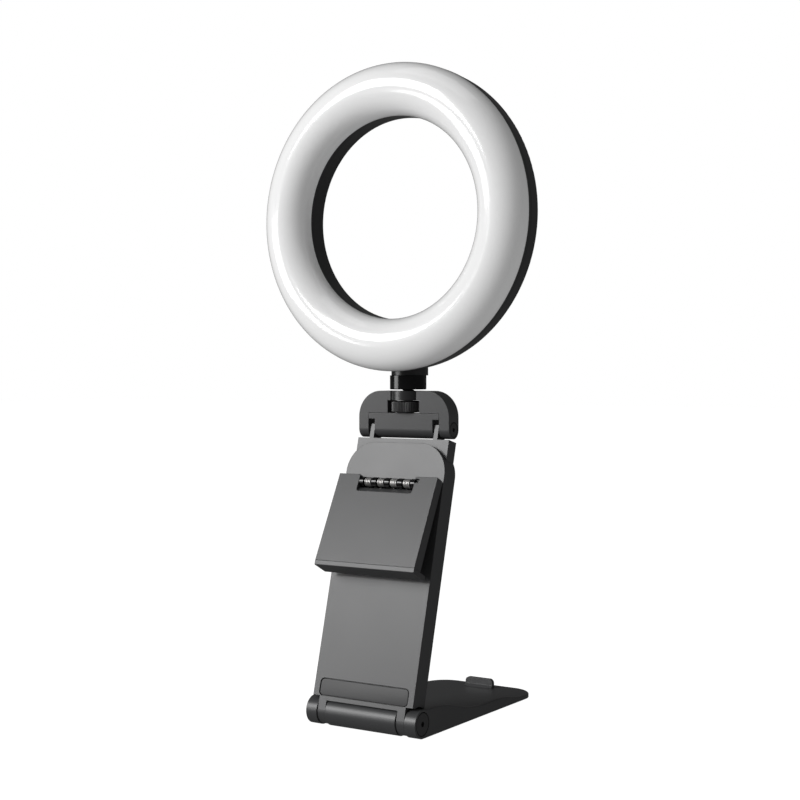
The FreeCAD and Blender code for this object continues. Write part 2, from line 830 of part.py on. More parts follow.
def make_flap_pin():
    return rod_x(-flap_half_width + pin_left_cover, pin_right_x, 0, 0, flap_pin_r)


# ---------------------------------------------------------------- slide
def shoe_foot():
    return slide_foot + shoe_above_foot


def slide_lug():
    """A flat tab on top of the slide that carries the pivot."""
    lug_top = pivot_s + slide_lug_rise
    lug_back = slide_mid + slide_lug_back
    lug = box(slide_lug_x, slide_lug_x + slide_lug_thickness, slide_front, lug_back,
              slide_top - 1, lug_top)
    lug = round_edges(lug, slide_lug_front_r, lambda e: along(e, X_AXIS)
                      and e.BoundBox.ZMin > lug_top - 0.01 and e.BoundBox.YMin < slide_mid)
    return round_edges(lug, slide_lug_rear_r, lambda e: along(e, X_AXIS)
                       and e.BoundBox.ZMin > lug_top - 0.01 and e.BoundBox.YMin > slide_mid)


def make_slide():
    plate = box(-half_slide, half_slide, slide_front, arm_back, slide_foot, slide_top)
    tongue_y1 = arm_back - tongue_from_back
    groove = box(half_channel - tongue_depth - slide_gap, half_channel,
                 tongue_y1 - tongue_width - slide_gap, tongue_y1 + slide_gap,
                 slide_foot - 1, arm_top - arm_corner_r + groove_spare)
    for cutter in both_sides(groove):
        plate = plate.cut(cutter)
    slide = fuse([plate] + both_sides(slide_lug()))
    slide = slide.cut(rod_x(-half_slide, half_slide, slide_mid, pivot_s, pivot_r + running_gap))
    reach = stop_pin_r + slide_gap
    slot = box(-reach, reach, slide_front - 1, slide_front + stop_slot_depth,
               stop_pin_s() - travel, stop_pin_s())
    slot_ends = [rod_y(0, z, slide_front - 1, slide_front + stop_slot_depth, reach)
                 for z in (stop_pin_s() - travel, stop_pin_s())]
    for cutter in [slot] + slot_ends:
        slide = slide.cut(cutter)
    for side in (-1, 1):
        x_mid = side * shoe_x
        half = shoe_size / 2.0 + slide_gap
        slide = slide.cut(box(x_mid - half, x_mid + half, slide_front - 1,
                              slide_front + shoe_depth, shoe_foot() - slide_gap,
                              shoe_foot() + shoe_length + slide_gap))
    return slide


def make_friction_shoes():
    shoes = []
    for side in (-1, 1):
        x_mid = side * shoe_x
        shoe = box(x_mid - shoe_size / 2.0, x_mid + shoe_size / 2.0,
                   channel_floor + shoe_play, channel_floor + shoe_play + shoe_thickness,
                   shoe_foot(), shoe_foot() + shoe_length)
        shoes.append(round_edges(shoe, shoe_edge_r, lambda e: along(e, X_AXIS)
                                 and e.BoundBox.YMin < slide_front))
    return shoes


def make_leaf_springs():
    """A bowed strip behind each shoe, touching the shoe and the pocket's floor."""
    leaves = []
    front = channel_floor + shoe_play + shoe_thickness + leaf_thickness
    back = slide_front + shoe_depth
    leaf_width = shoe_size - 2.0 * leaf_side_gap
    for side in (-1, 1):
        z0 = shoe_foot() + leaf_end_gap
        z1 = shoe_foot() + shoe_length - leaf_end_gap
        mid = (z0 + z1) / 2.0
        rise = back - front
        outer = Part.Arc(V(0, back, z0), V(0, front, mid), V(0, back, z1)).toShape()
        toe_0 = z0 + leaf_toe
        toe_1 = z1 - leaf_toe
        inner = Part.Arc(V(0, back, toe_1), V(0, back - rise + leaf_thickness, mid),
                         V(0, back, toe_0)).toShape()
        wire = Part.Wire([outer, Part.makeLine(V(0, back, z1), V(0, back, toe_1)), inner,
                          Part.makeLine(V(0, back, toe_0), V(0, back, z0))])
        leaf = Part.Face(wire).extrude(V(leaf_width, 0, 0))
        leaf.translate(V(side * shoe_x - leaf_width / 2.0, 0, 0))
        leaves.append(leaf)
    return leaves


# ---------------------------------------------------------------- tilt bracket
def bracket_blank():
    half_t = bracket_thickness / 2.0
    plate = front_outline(bracket_half, 0, bracket_rise, bracket_corner_r, -half_t, half_t)
    return fuse([plate, rod_x(-bracket_half, bracket_half, 0, 0, half_t)])


def block_space(grow):
    half_t = bracket_thickness / 2.0 + 1
    return box(-block_half_width - grow, block_half_width + grow, -half_t, half_t,
               -half_t, block_rise + grow)


def make_bracket():
    half_t = bracket_thickness / 2.0 + 1
    arch = bracket_blank().cut(block_space(part_gap / 2.0))
    arch = arch.cut(box(-wheel_notch_half, wheel_notch_half, -half_t, half_t, 0,
                        wheel_notch_rise))
    arch = arch.cut(rod_z(0, 0, wheel_notch_rise - 1, bracket_rise + 1, stud_r + running_gap))
    for cutter in both_sides(collar_key(seat_gap)):
        arch = arch.cut(cutter)
    front = -bracket_thickness / 2.0 + collar_recess_depth
    recess = box(-collar_recess_half, collar_recess_half, -half_t, front,
                 wheel_notch_rise - 1, bracket_rise + 1)
    arch = arch.cut(recess).cut(recess.mirror(V(0, 0, 0), Y_AXIS))
    arch = arch.cut(rod_x(-bracket_half - 1, bracket_half + 1, 0, 0, pivot_r + seat_gap))
    pocket = rod_x(bracket_half - pivot_head_thickness - part_gap, bracket_half + 1, 0, 0,
                   pivot_head_r + pivot_groove)
    for cutter in both_sides(pocket):
        arch = arch.cut(cutter)
    return arch


def collar_key(grow):
    """A cross hole of the top bar that the moulded collar flows through."""
    z = (wheel_notch_rise + bracket_rise) / 2.0
    return rod_y(collar_key_x, z, -bracket_thickness, bracket_thickness, collar_key_r + grow)


def make_stud_collar():
    """The round collar moulded on the front and back of the top bar."""
    half_web = bracket_thickness / 2.0 - collar_recess_depth
    collar = rod_z(0, 0, wheel_notch_rise, bracket_rise, collar_r)
    bar = box(-collar_r - 1, collar_r + 1, -half_web, half_web, wheel_notch_rise - 1,
              bracket_rise + 1)
    halves = collar.cut(bar)
    key_end = rod_z(0, 0, wheel_notch_rise, bracket_rise, collar_r - collar_key_r / 2.0)
    keys = [key.common(key_end) for key in both_sides(collar_key(0))]
    return fuse([halves] + keys)


def make_pivot_block():
    block = bracket_blank().common(block_space(-part_gap / 2.0))
    half_t = bracket_thickness / 2.0 + 1
    slot = box(lug_slot_inner, block_half_width + 1, -half_t, half_t, -half_t, lug_slot_rise)
    for cutter in both_sides(slot):
        block = block.cut(cutter)
    block = block.cut(rod_x(-bracket_half, bracket_half, 0, 0, pivot_r + seat_gap))
    return block.cut(rod_z(0, 0, block_rise - journal_depth, block_rise + 1,
                           journal_r + running_gap))


def make_pivot_screw():
    inner_face = bracket_half - pivot_head_thickness
    head = rod_x(inner_face, bracket_half, 0, 0, pivot_head_r)
    head = head.makeFillet(pivot_edge_r,
                           [e for e in head.Edges if e.BoundBox.XMin > bracket_half - 0.01])
    shank = rod_x(-bracket_half + pivot_end_gap, inner_face, 0, 0, pivot_r)
    socket = hex_socket(pivot_socket_across, pivot_socket_depth)
    socket.translate(V(bracket_half, 0, 0))
    return fuse([head, shank]).cut(socket)


def make_pivot_nut():
    outer_face = -bracket_half
    nut = rod_x(outer_face, outer_face + pivot_head_thickness, 0, 0, pivot_head_r)
    nut = nut.cut(rod_x(outer_face - 1, 0, 0, 0, pivot_r + seat_gap))
    slot = box(outer_face - 1, outer_face + nut_slot_depth, -nut_slot_half, nut_slot_half,
               -pivot_head_r - 1, pivot_head_r + 1)
    return nut.cut(slot)


def make_tilt_washers():
    washers = []
    inner_x = lug_slot_inner + part_gap / 2.0
    outer_x = slide_lug_x + slide_lug_thickness
    inner_room = slide_lug_x - inner_x
    outer_room = block_half_width - outer_x
    for x0, room in ((inner_x, inner_room), (outer_x, outer_room)):
        thickness = room - 2.0 * part_gap
        ring = tube_x(x0 + part_gap, x0 + part_gap + thickness, 0, 0,
                      tilt_washer_r, pivot_r + running_gap)
        washers += both_sides(ring)
    return washers


def knurled_disc(radius, z0, z1):
    points = []
    for k in range(2 * wheel_teeth):
        angle = math.pi * k / wheel_teeth
        r = radius if k % 2 == 0 else radius - knurl_depth
        points.append(V(r * math.cos(angle), r * math.sin(angle), z0))
    return prism(points, V(0, 0, z1 - z0))


def wheel_foot():
    return block_rise + wheel_end_gap


def make_thumb_wheel():
    z0 = wheel_foot()
    z1 = z0 + wheel_height
    small_r = wheel_r - wheel_bevel
    wheel = knurled_disc(wheel_r, z0, z1)
    rim = Part.makeCone(small_r, wheel_r, wheel_bevel, V(0, 0, z0), Z_AXIS)
    body = rod_z(0, 0, z0 + wheel_bevel, z1 - wheel_bevel, wheel_r)
    crown = Part.makeCone(wheel_r, small_r, wheel_bevel, V(0, 0, z1 - wheel_bevel), Z_AXIS)
    wheel = wheel.common(fuse([rim, body, crown]))
    return wheel.cut(rod_z(0, 0, 0, bracket_rise, stud_core_r + seat_gap))


def make_stud():
    z0 = wheel_foot()
    z1 = z0 + wheel_height
    journal = rod_z(0, 0, block_rise - journal_depth + part_gap, z0, journal_r)
    core = rod_z(0, 0, z0, z1, stud_core_r)
    thread = rod_z(0, 0, z1, bracket_rise + stud_reach, stud_r)
    thread = thread.makeChamfer(stud_tip_bevel, [e for e in thread.Edges
                                                 if e.BoundBox.ZMin > bracket_rise + 1])
    return fuse([journal, core, thread])


# ---------------------------------------------------------------- light head
def make_neck():
    tube = rod_z(0, neck_y_axis, neck_foot_z, neck_shoulder_z, neck_r)
    tube = tube.makeFillet(neck_edge_r,
                           [e for e in tube.Edges if e.BoundBox.ZMax < neck_foot_z + 0.01])
    spigot = rod_z(0, neck_y_axis, neck_shoulder_z - 0.5, neck_shoulder_z + spigot_length,
                   spigot_r)
    neck = fuse([tube, spigot])
    insert_top = neck_foot_z + insert_sunk + thread_insert_length
    neck = neck.cut(rod_z(0, neck_y_axis, neck_foot_z - 1, insert_top,
                          thread_insert_r + seat_gap))
    neck = neck.cut(rod_z(0, neck_y_axis, neck_foot_z, insert_top + stud_head_room,
                          stud_r + insert_sunk))
    return neck.cut(rod_y(0, neck_screw_z(), neck_y_axis, boss_back_y() + 1,
                          neck_screw_r + seat_gap))


def boss_back_y():
    return boss_y_axis + boss_r


def neck_screw_z():
    return neck_shoulder_z + spigot_length - neck_screw_drop


def make_thread_insert():
    z0 = neck_foot_z + insert_sunk
    insert = rod_z(0, neck_y_axis, z0, z0 + thread_insert_length, thread_insert_r)
    return insert.cut(rod_z(0, neck_y_axis, z0 - 1, z0 + thread_insert_length + 1,
                            stud_r + running_gap))


def cross_recess(x, z, head_y, head_r):
    """The two slots of a cross-head screw whose head faces +Y."""
    reach = head_r * cross_reach_share
    y0 = head_y - cross_depth
    wide = box(x - reach, x + reach, y0, head_y + 1, z - cross_half_width, z + cross_half_width)
    tall = box(x - cross_half_width, x + cross_half_width, y0, head_y + 1, z - reach, z + reach)
    return fuse([wide, tall])


def make_neck_screw():
    head_y1 = boss_back_y() - part_gap
    head_y0 = head_y1 - neck_screw_head
    head = rod_y(0, neck_screw_z(), head_y0, head_y1, neck_screw_head_r)
    shank = rod_y(0, neck_screw_z(), neck_y_axis + 2.0, head_y0, neck_screw_r)
    return fuse([head, shank]).cut(cross_recess(0, neck_screw_z(), head_y1, neck_screw_head_r))


def half_ellipse(outer, inner, bulge):
    """A forward bulge between two radii, drawn in the plane of radius (X) and depth (Y)."""
    middle = (outer + inner) / 2.0
    reach = (outer - inner) / 2.0
    if reach >= bulge:
        ellipse = Part.Ellipse(V(middle + reach, 0, 0), V(middle, -bulge, 0), V(middle, 0, 0))
    else:
        ellipse = Part.Ellipse(V(middle, -bulge, 0), V(middle + reach, 0, 0), V(middle, 0, 0))
    far = ellipse.toShape()
    half_space = Part.makePlane(4.0 * reach, 4.0 * bulge,
                                V(middle - 2.0 * reach, -4.0 * bulge, 0), Z_AXIS)
    disc = Part.Face(Part.Wire([far]))
    return disc.common(half_space)


def make_diffuser():
    outer = half_ellipse(ring_outer_r, ring_inner_r, diffuser_bulge)
    step = housing_wall + part_gap + rim_skirt
    inner = half_ellipse(ring_outer_r - step, ring_inner_r + step,
                         diffuser_bulge - diffuser_wall)
    section = outer.cut(inner)
    solid = section.Faces[0].revolve(V(0, 0, 0), Y_AXIS, 360)
    skirts = []
    for r1 in (ring_outer_r - housing_wall - part_gap, ring_inner_r + step):
        tube = Part.makeCylinder(r1, skirt_depth + 0.2, V(0, -0.2, 0), Y_AXIS)
        bore = Part.makeCylinder(r1 - rim_skirt, skirt_depth + 0.2, V(0, -0.2, 0), Y_AXIS)
        skirts.append(tube.cut(bore))
    solid = fuse([solid] + skirts)
    solid.translate(V(0, seam_y, ring_z))
    return solid


def housing_outline(shrink, depth):
    """Section of the rear shell: straight past the diffuser's skirt, then tapered."""
    outer = ring_outer_r - shrink
    inner = ring_inner_r + shrink
    straight = skirt_depth * 1.25
    return [V(outer, 0, 0), V(outer, straight, 0), V(outer - outer_taper, depth, 0),
            V(inner + inner_taper, depth, 0), V(inner, straight, 0), V(inner, 0, 0)]


def post_places():
    for k in range(screw_count):
        yield ring_point(first_screw_deg + 360.0 * k / screw_count, ring_mid_r)


def control_sector(radius_0, radius_1, y0, y1, first_deg, last_deg):
    """A flat sector of the ring between two radii and two angles."""
    disc = Part.makeCylinder(radius_1, y1 - y0, V(0, y0, ring_z), V(0, 1, 0))
    disc = disc.cut(Part.makeCylinder(radius_0, y1 - y0, V(0, y0, ring_z), V(0, 1, 0)))
    far = 3.0 * radius_1
    first = math.radians(first_deg)
    last = math.radians(last_deg)
    wedge = prism([V(0, y0 - 1, ring_z),
                   V(far * math.cos(first), y0 - 1, ring_z + far * math.sin(first)),
                   V(far * math.cos(last), y0 - 1, ring_z + far * math.sin(last))],
                  V(0, y1 - y0 + 2, 0))
    return disc.common(wedge)


def usb_blank(width, height, y0, y1):
    """An obround along the ring's tangent at the inlet."""
    x, z = ring_point(usb_angle, ring_mid_r)
    slab = box(x - width / 2.0, x + width / 2.0, y0, y1, z - height / 2.0, z + height / 2.0)
    slab = round_edges(slab, height / 2.0 - 0.01, lambda e: along(e, Y_AXIS))
    return turned(slab, usb_angle + 90.0, x, z)


def make_housing():
    outer = revolved_ring(edge_loop(housing_outline(0, housing_depth)), 0, 0)
    at_rear = housing_depth - 0.01
    outer = round_edges(outer, outer_round, lambda e: e.BoundBox.YMin > at_rear
                        and e.BoundBox.ZMax > ring_mid_r)
    outer = round_edges(outer, inner_round, lambda e: e.BoundBox.YMin > at_rear
                        and e.BoundBox.ZMax < ring_mid_r)
    hollow = revolved_ring(edge_loop(housing_outline(housing_wall,
                                                     housing_depth - housing_wall)), 0, 0)
    mouth = Part.makeCylinder(ring_outer_r - housing_wall, 1, V(0, -1, 0), Y_AXIS)
    mouth = mouth.cut(Part.makeCylinder(ring_inner_r + housing_wall, 1, V(0, -1, 0), Y_AXIS))
    shell = outer.cut(hollow).cut(mouth)
    shell.translate(V(0, seam_y, ring_z))
    boss = rod_z(0, boss_y_axis, neck_shoulder_z, neck_shoulder_z + boss_height, boss_r)
    boss = round_edges(boss, boss_round, lambda e: e.BoundBox.ZMin > neck_shoulder_z + 1)
    posts = []
    for x, z in post_places():
        posts.append(rod_y(x, z, board_rear_y, rear_y - post_root, post_r))
    housing = fuse([shell, boss] + posts)
    housing = housing.cut(rod_z(0, neck_y_axis, neck_shoulder_z - 1,
                                neck_shoulder_z + spigot_length + part_gap,
                                spigot_r + seat_gap))
    head_depth = screw_sunk + screw_head_thickness + part_gap
    for x, z in post_places():
        housing = housing.cut(rod_y(x, z, seam_y, rear_y + 1, screw_r + seat_gap))
        housing = housing.cut(rod_y(x, z, rear_y - head_depth, rear_y + 1,
                                    screw_head_r + part_gap))
    for angle in button_angles:
        x, z = ring_point(angle, ring_mid_r)
        housing = housing.cut(rod_y(x, z, rear_inner_y - 1, rear_y + 1,
                                    button_r + button_gap))
    housing = housing.cut(usb_blank(usb_width + 2 * part_gap, usb_height + 2 * part_gap,
                                    rear_inner_y - 1, rear_y + 1))
    housing = housing.cut(rod_y(0, neck_screw_z(), neck_y_axis, boss_back_y() + 1,
                                neck_screw_r + seat_gap))
    return housing.cut(rod_y(0, neck_screw_z(), boss_back_y() - neck_screw_head - 2.0 * part_gap,
                             boss_back_y() + 1, neck_screw_head_r + part_gap))


def make_led_board():
    board = Part.makeCylinder(board_outer_r, board_thickness, V(0, board_front_y, ring_z),
                              V(0, 1, 0))
    board = board.cut(Part.makeCylinder(board_inner_r, board_thickness,
                                        V(0, board_front_y, ring_z), V(0, 1, 0)))
    for x, z in post_places():
        board = board.cut(rod_y(x, z, board_front_y - 1, board_rear_y + 1,
                                screw_r + seat_gap))
    return board


def make_leds(first):
    """Every second LED of the ring, turned to face along its own radius."""
    leds = []
    pitch = 360.0 / led_count
    half_length = led_size * led_length_share / 2.0
    for k in range(first, led_count, 2):
        angle = pitch * (k + 0.5)
        x, z = ring_point(angle, ring_mid_r)
        led = box(x - led_size / 2.0, x + led_size / 2.0, board_front_y - led_thickness,
                  board_front_y, z - half_length, z + half_length)
        leds.append(turned(led, angle, x, z))
    return leds


def make_board_screws():
    screws = []
    head_y1 = rear_y - screw_sunk
    head_y0 = head_y1 - screw_head_thickness
    for x, z in post_places():
        head = rod_y(x, z, head_y0, head_y1, screw_head_r)
        shank = rod_y(x, z, board_front_y + part_gap, head_y0, screw_r)
        screws.append(fuse([head, shank]).cut(cross_recess(x, z, head_y1, screw_head_r)))
    return screws


def flange_rear_y():
    return rear_inner_y - running_gap


def switch_rear_y():
    return flange_rear_y() - button_flange_thickness - button_travel - switch_play


def control_board_rear_y():
    return switch_rear_y() - switch_height


def make_control_board():
    rear = control_board_rear_y()
    board = control_sector(ring_inner_r + control_board_margin,
                           ring_outer_r - control_board_margin,
                           rear - control_board_thickness, rear,
                           control_first_deg, control_last_deg)
    for x, z in post_places():
        board = board.cut(rod_y(x, z, rear - 5, rear + 5, post_r + 0.3))
    return board


def make_switches():
    switches = []
    rear = control_board_rear_y()
    for angle in button_angles:
        x, z = ring_point(angle, ring_mid_r)
        half = switch_width / 2.0
        body = box(x - half, x + half, rear, switch_rear_y(), z - half, z + half)
        well = rod_y(x, z, rear + switch_floor, switch_rear_y() + 1,
                     button_stem_r + button_gap)
        switches.append(turned(body.cut(well), angle, x, z))
    return switches


def make_button(angle):
    x, z = ring_point(angle, ring_mid_r)
    flange_y1 = flange_rear_y()
    flange_y0 = flange_y1 - button_flange_thickness
    cap = rod_y(x, z, flange_y0, rear_y + button_proud, button_r)
    cap = cap.makeFillet(button_edge_r, [e for e in cap.Edges if e.BoundBox.YMin > rear_y])
    flange = rod_y(x, z, flange_y0, flange_y1, button_flange_r)
    stem = rod_y(x, z, switch_rear_y() - button_travel - switch_play, flange_y0, button_stem_r)
    return fuse([cap, flange, stem])


def make_usb_shell():
    outer = usb_blank(usb_width, usb_height, control_board_rear_y(), rear_y - usb_sunk)
    inner = usb_blank(usb_width - 2 * usb_wall, usb_height - 2 * usb_wall,
                      control_board_rear_y() + usb_back_thickness, rear_y + 1)
    return outer.cut(inner)


def make_usb_tongue():
    return usb_blank(usb_tongue_width, usb_tongue_height,
                     control_board_rear_y() + usb_back_thickness, rear_y - usb_tongue_sunk)


def make_board_link():
    """The header that joins the control board to the LED board."""
    x, z = ring_point(link_angle, ring_mid_r + link_outset)
    y1 = control_board_rear_y() - control_board_thickness
    link = box(x - link_length / 2.0, x + link_length / 2.0, board_rear_y, y1,
               z - link_width / 2.0, z + link_width / 2.0)
    return turned(link, link_angle + 90.0, x, z)


# ---------------------------------------------------------------- all pieces
def on_base(shapes):
    """Base pieces are drawn from the hinge axis, with the ground at zero."""
    placed = [shape.copy() for shape in shapes]
    for shape in placed:
        shape.translate(V(0, hinge_y, 0))
    return placed


def pieces():
    bolt = make_axle_bolt()
    made = {
        "base_tray": on_base([make_base_tray()]),
        "rubber_feet": on_base(make_feet()),
        "hinge_axle": on_base([make_axle()]),
        "axle_bolt_right": on_base([bolt]),
        "axle_bolt_left": on_base([bolt.mirror(V(0, 0, 0), X_AXIS)]),
        "hinge_friction_washers": on_base(make_friction_washers()),
        "arm_sleeve": [from_hinge(make_sleeve())],
        "lug_bushes": [from_hinge(s) for s in make_lug_bushes()],
        "arm_rubber_pad": [from_hinge(make_arm_pad())],
        "slide_stop_pin": [from_hinge(make_stop_pin())],
        "clip_hinge_block": [from_hinge(make_clip_hinge_block())],
        "clip_hinge_screws": [from_hinge(s) for s in make_clip_screws()],
        "clip_springs": [from_hinge(s) for s in make_clip_springs()],
        "clip_flap": [from_flap(make_flap())],
        "clip_lip": [from_flap(make_lip())],
        "clip_rubber_pad": [from_flap(make_clip_pad())],
        "clip_hinge_pin": [from_flap(make_flap_pin())],
        "slide_plate": [from_hinge(make_slide())],
        "slide_friction_shoes": [from_hinge(s) for s in make_friction_shoes()],
        "slide_leaf_springs": [from_hinge(s) for s in make_leaf_springs()],
        "tilt_bracket": [from_pivot(make_bracket())],
        "stud_collar": [from_pivot(make_stud_collar())],
        "tilt_pivot_block": [from_pivot(make_pivot_block())],
        "tilt_pivot_screw": [from_pivot(make_pivot_screw())],
        "tilt_pivot_nut": [from_pivot(make_pivot_nut())],
        "tilt_washers": [from_pivot(s) for s in make_tilt_washers()],
        "thumb_wheel": [from_pivot(make_thumb_wheel())],
        "camera_stud": [from_pivot(make_stud())],
        "neck_tube": [make_neck()],
        "neck_thread_insert": [make_thread_insert()],
        "neck_screw": [make_neck_screw()],
        "ring_housing": [make_housing()],
        "ring_diffuser": [make_diffuser()],
        "led_board": [make_led_board()],
        "cool_leds": make_leds(0),
        "warm_leds": make_leds(1),
        "housing_screws": make_board_screws(),
        "control_board": [make_control_board()],
        "button_switches": make_switches(),
        "board_link": [make_board_link()],
        "usb_inlet_shell": [make_usb_shell()],
        "usb_inlet_tongue": [make_usb_tongue()],
    }
    for name, angle in zip(button_names, button_angles):
        made[name] = [make_button(angle)]
    return made


def write_parts():
    os.makedirs("parts", exist_ok=True)
    for name, shapes in pieces().items():
        shape = shapes[0] if len(shapes) == 1 else group(shapes)
        shape.exportStep("parts/" + name + ".step")


write_parts()
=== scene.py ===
"""Looks of a folding desk ring light, built around its CAD frame. Metres, +Z up, lit side to -Y."""
import json
import math

import bpy
from bpy.props import (BoolProperty, FloatProperty, FloatVectorProperty, IntProperty,
                       PointerProperty)
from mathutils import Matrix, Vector


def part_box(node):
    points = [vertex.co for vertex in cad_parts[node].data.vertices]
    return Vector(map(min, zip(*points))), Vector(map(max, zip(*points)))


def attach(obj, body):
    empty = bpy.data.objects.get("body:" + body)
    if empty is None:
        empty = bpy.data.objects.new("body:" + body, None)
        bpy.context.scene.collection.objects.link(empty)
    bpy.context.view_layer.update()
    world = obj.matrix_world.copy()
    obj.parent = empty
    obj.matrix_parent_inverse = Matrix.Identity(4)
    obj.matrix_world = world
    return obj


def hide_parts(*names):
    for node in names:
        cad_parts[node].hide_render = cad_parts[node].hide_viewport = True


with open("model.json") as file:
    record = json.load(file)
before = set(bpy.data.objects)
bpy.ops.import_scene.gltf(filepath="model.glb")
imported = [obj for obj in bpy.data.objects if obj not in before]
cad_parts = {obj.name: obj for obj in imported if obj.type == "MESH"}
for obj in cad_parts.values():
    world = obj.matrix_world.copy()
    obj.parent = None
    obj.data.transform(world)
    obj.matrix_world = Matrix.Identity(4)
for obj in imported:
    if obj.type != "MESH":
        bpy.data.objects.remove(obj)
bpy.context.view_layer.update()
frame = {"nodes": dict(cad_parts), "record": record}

bl_info = {
    "name": "Desk Ring Light",
    "version": (1, 0, 0),
    "blender": (4, 5, 0),
    "location": "3D View > Sidebar > Ring Light",
    "description": "Builds the looks of a folding desk ring light around its frame",
    "category": "Object",
}

MM = 0.001
NODES = frame["nodes"]
LEAN = math.radians(14.75)
CLIP_LEAN = math.radians(12.43)


# ---------------------------------------------------------------- places read from the frame
def middle(node):
    low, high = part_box(node)
    return (low + high) / 2.0


RING_LOW, RING_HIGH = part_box("ring_diffuser")
RING_CENTRE_Z = (RING_LOW.z + RING_HIGH.z) / 2.0
RING_OUTER = (RING_HIGH.x - RING_LOW.x) / 2.0
HOUSING_LOW, HOUSING_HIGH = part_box("ring_housing")
SEAM_Y = HOUSING_LOW.y
HINGE = middle("hinge_axle")
CLIP_PIN = middle("clip_hinge_pin")
WHEEL_LOW, WHEEL_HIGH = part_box("thumb_wheel")
STUD_LOW, STUD_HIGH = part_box("camera_stud")
STUD_AXIS = middle("camera_stud")


# ---------------------------------------------------------------- settings
class RingLightSizes(bpy.types.PropertyGroup):
    """Sizes of the detailed pieces."""

    diffuser_width: FloatProperty(
        name="Diffuser Width", description="Width of the ring's white band, edge to edge",
        default=26.1 * MM, min=0.01, unit="LENGTH")
    diffuser_bulge: FloatProperty(
        name="Diffuser Bulge", description="How far the white band stands ahead of its seam",
        default=12.0 * MM, min=0.002, unit="LENGTH")
    diffuser_wall: FloatProperty(
        name="Diffuser Wall", description="Thickness of the opal plastic",
        default=1.2 * MM, min=0.0005, unit="LENGTH")
    diffuser_steps: IntProperty(
        name="Diffuser Steps", description="Segments round the ring", default=192, min=48)
    spring_wire: FloatProperty(
        name="Spring Wire", description="Radius of the clip springs' wire",
        default=0.43 * MM, min=0.0001, unit="LENGTH")
    spring_pitch: FloatProperty(
        name="Spring Pitch", description="Step from one turn of a clip spring to the next",
        default=0.95 * MM, min=0.0002, unit="LENGTH")
    spring_turns: IntProperty(
        name="Spring Turns", description="Whole turns of each clip spring", default=4, min=1)
    spring_spacing: FloatProperty(
        name="Spring Spacing", description="Distance from one clip spring to the next",
        default=7.6 * MM, min=0.002, unit="LENGTH")
    spring_radius: FloatProperty(
        name="Spring Radius", description="Outer radius of the clip springs' coils",
        default=2.4 * MM, min=0.001, unit="LENGTH")
    thread_pitch: FloatProperty(
        name="Thread Pitch", description="Pitch of the camera thread",
        default=1.27 * MM, min=0.0004, unit="LENGTH")
    thread_radius: FloatProperty(
        name="Thread Radius", description="Outer radius of the camera thread",
        default=3.175 * MM, min=0.001, unit="LENGTH")
    thread_root: FloatProperty(
        name="Thread Root", description="Radius at the bottom of the camera thread",
        default=2.45 * MM, min=0.0005, unit="LENGTH")
    stud_core: FloatProperty(
        name="Stud Core", description="Radius of the stud inside the thumb wheel",
        default=4.0 * MM, min=0.001, unit="LENGTH")
    stud_journal: FloatProperty(
        name="Stud Journal", description="Radius of the stud's lower end",
        default=3.0 * MM, min=0.001, unit="LENGTH")
    knurl_teeth: IntProperty(
        name="Knurl Teeth", description="Ridges round the thumb wheel", default=60, min=12)
    knurl_depth: FloatProperty(
        name="Knurl Depth", description="Depth of the ridges",
        default=0.3 * MM, min=0.00005, unit="LENGTH")
    pad_edge: FloatProperty(
        name="Pad Edge", description="Rounding of the rubber pads' rims",
        default=0.3 * MM, min=0.00005, unit="LENGTH")


class RingLightColours(bpy.types.PropertyGroup):
    """Colours of the finishes."""

    charcoal: FloatVectorProperty(
        name="Charcoal", description="Satin paint of the base, arm, slide, flap and bracket",
        default=(0.046, 0.0465, 0.048), subtype="COLOR", min=0.0, max=1.0)
    rubber: FloatVectorProperty(
        name="Rubber", description="Pads and feet",
        default=(0.034, 0.034, 0.035), subtype="COLOR", min=0.0, max=1.0)
    shell: FloatVectorProperty(
        name="Satin Black", description="Rear shell, collar and thumb wheel",
        default=(0.022, 0.022, 0.0225), subtype="COLOR", min=0.0, max=1.0)
    black: FloatVectorProperty(
        name="Black Plastic", description="Neck, clip hinge and buttons",
        default=(0.0035, 0.0035, 0.0038), subtype="COLOR", min=0.0, max=1.0)
    black_steel: FloatVectorProperty(
        name="Black Steel", description="Blackened screws, caps and the camera stud",
        default=(0.030, 0.030, 0.031), subtype="COLOR", min=0.0, max=1.0)
    opal: FloatVectorProperty(
        name="Opal White", description="The light's diffuser",
        default=(0.90, 0.90, 0.90), subtype="COLOR", min=0.0, max=1.0)
    steel: FloatVectorProperty(
        name="Nickel Steel", description="Springs, screws and pins",
        default=(0.62, 0.61, 0.60), subtype="COLOR", min=0.0, max=1.0)
    brass: FloatVectorProperty(
        name="Brass", description="The neck's threaded insert",
        default=(0.62, 0.42, 0.16), subtype="COLOR", min=0.0, max=1.0)
    nylon: FloatVectorProperty(
        name="Nylon", description="Bushes, shoes and washers",
        default=(0.62, 0.61, 0.57), subtype="COLOR", min=0.0, max=1.0)
    board: FloatVectorProperty(
        name="Board White", description="Circuit boards' solder resist",
        default=(0.70, 0.72, 0.70), subtype="COLOR", min=0.0, max=1.0)


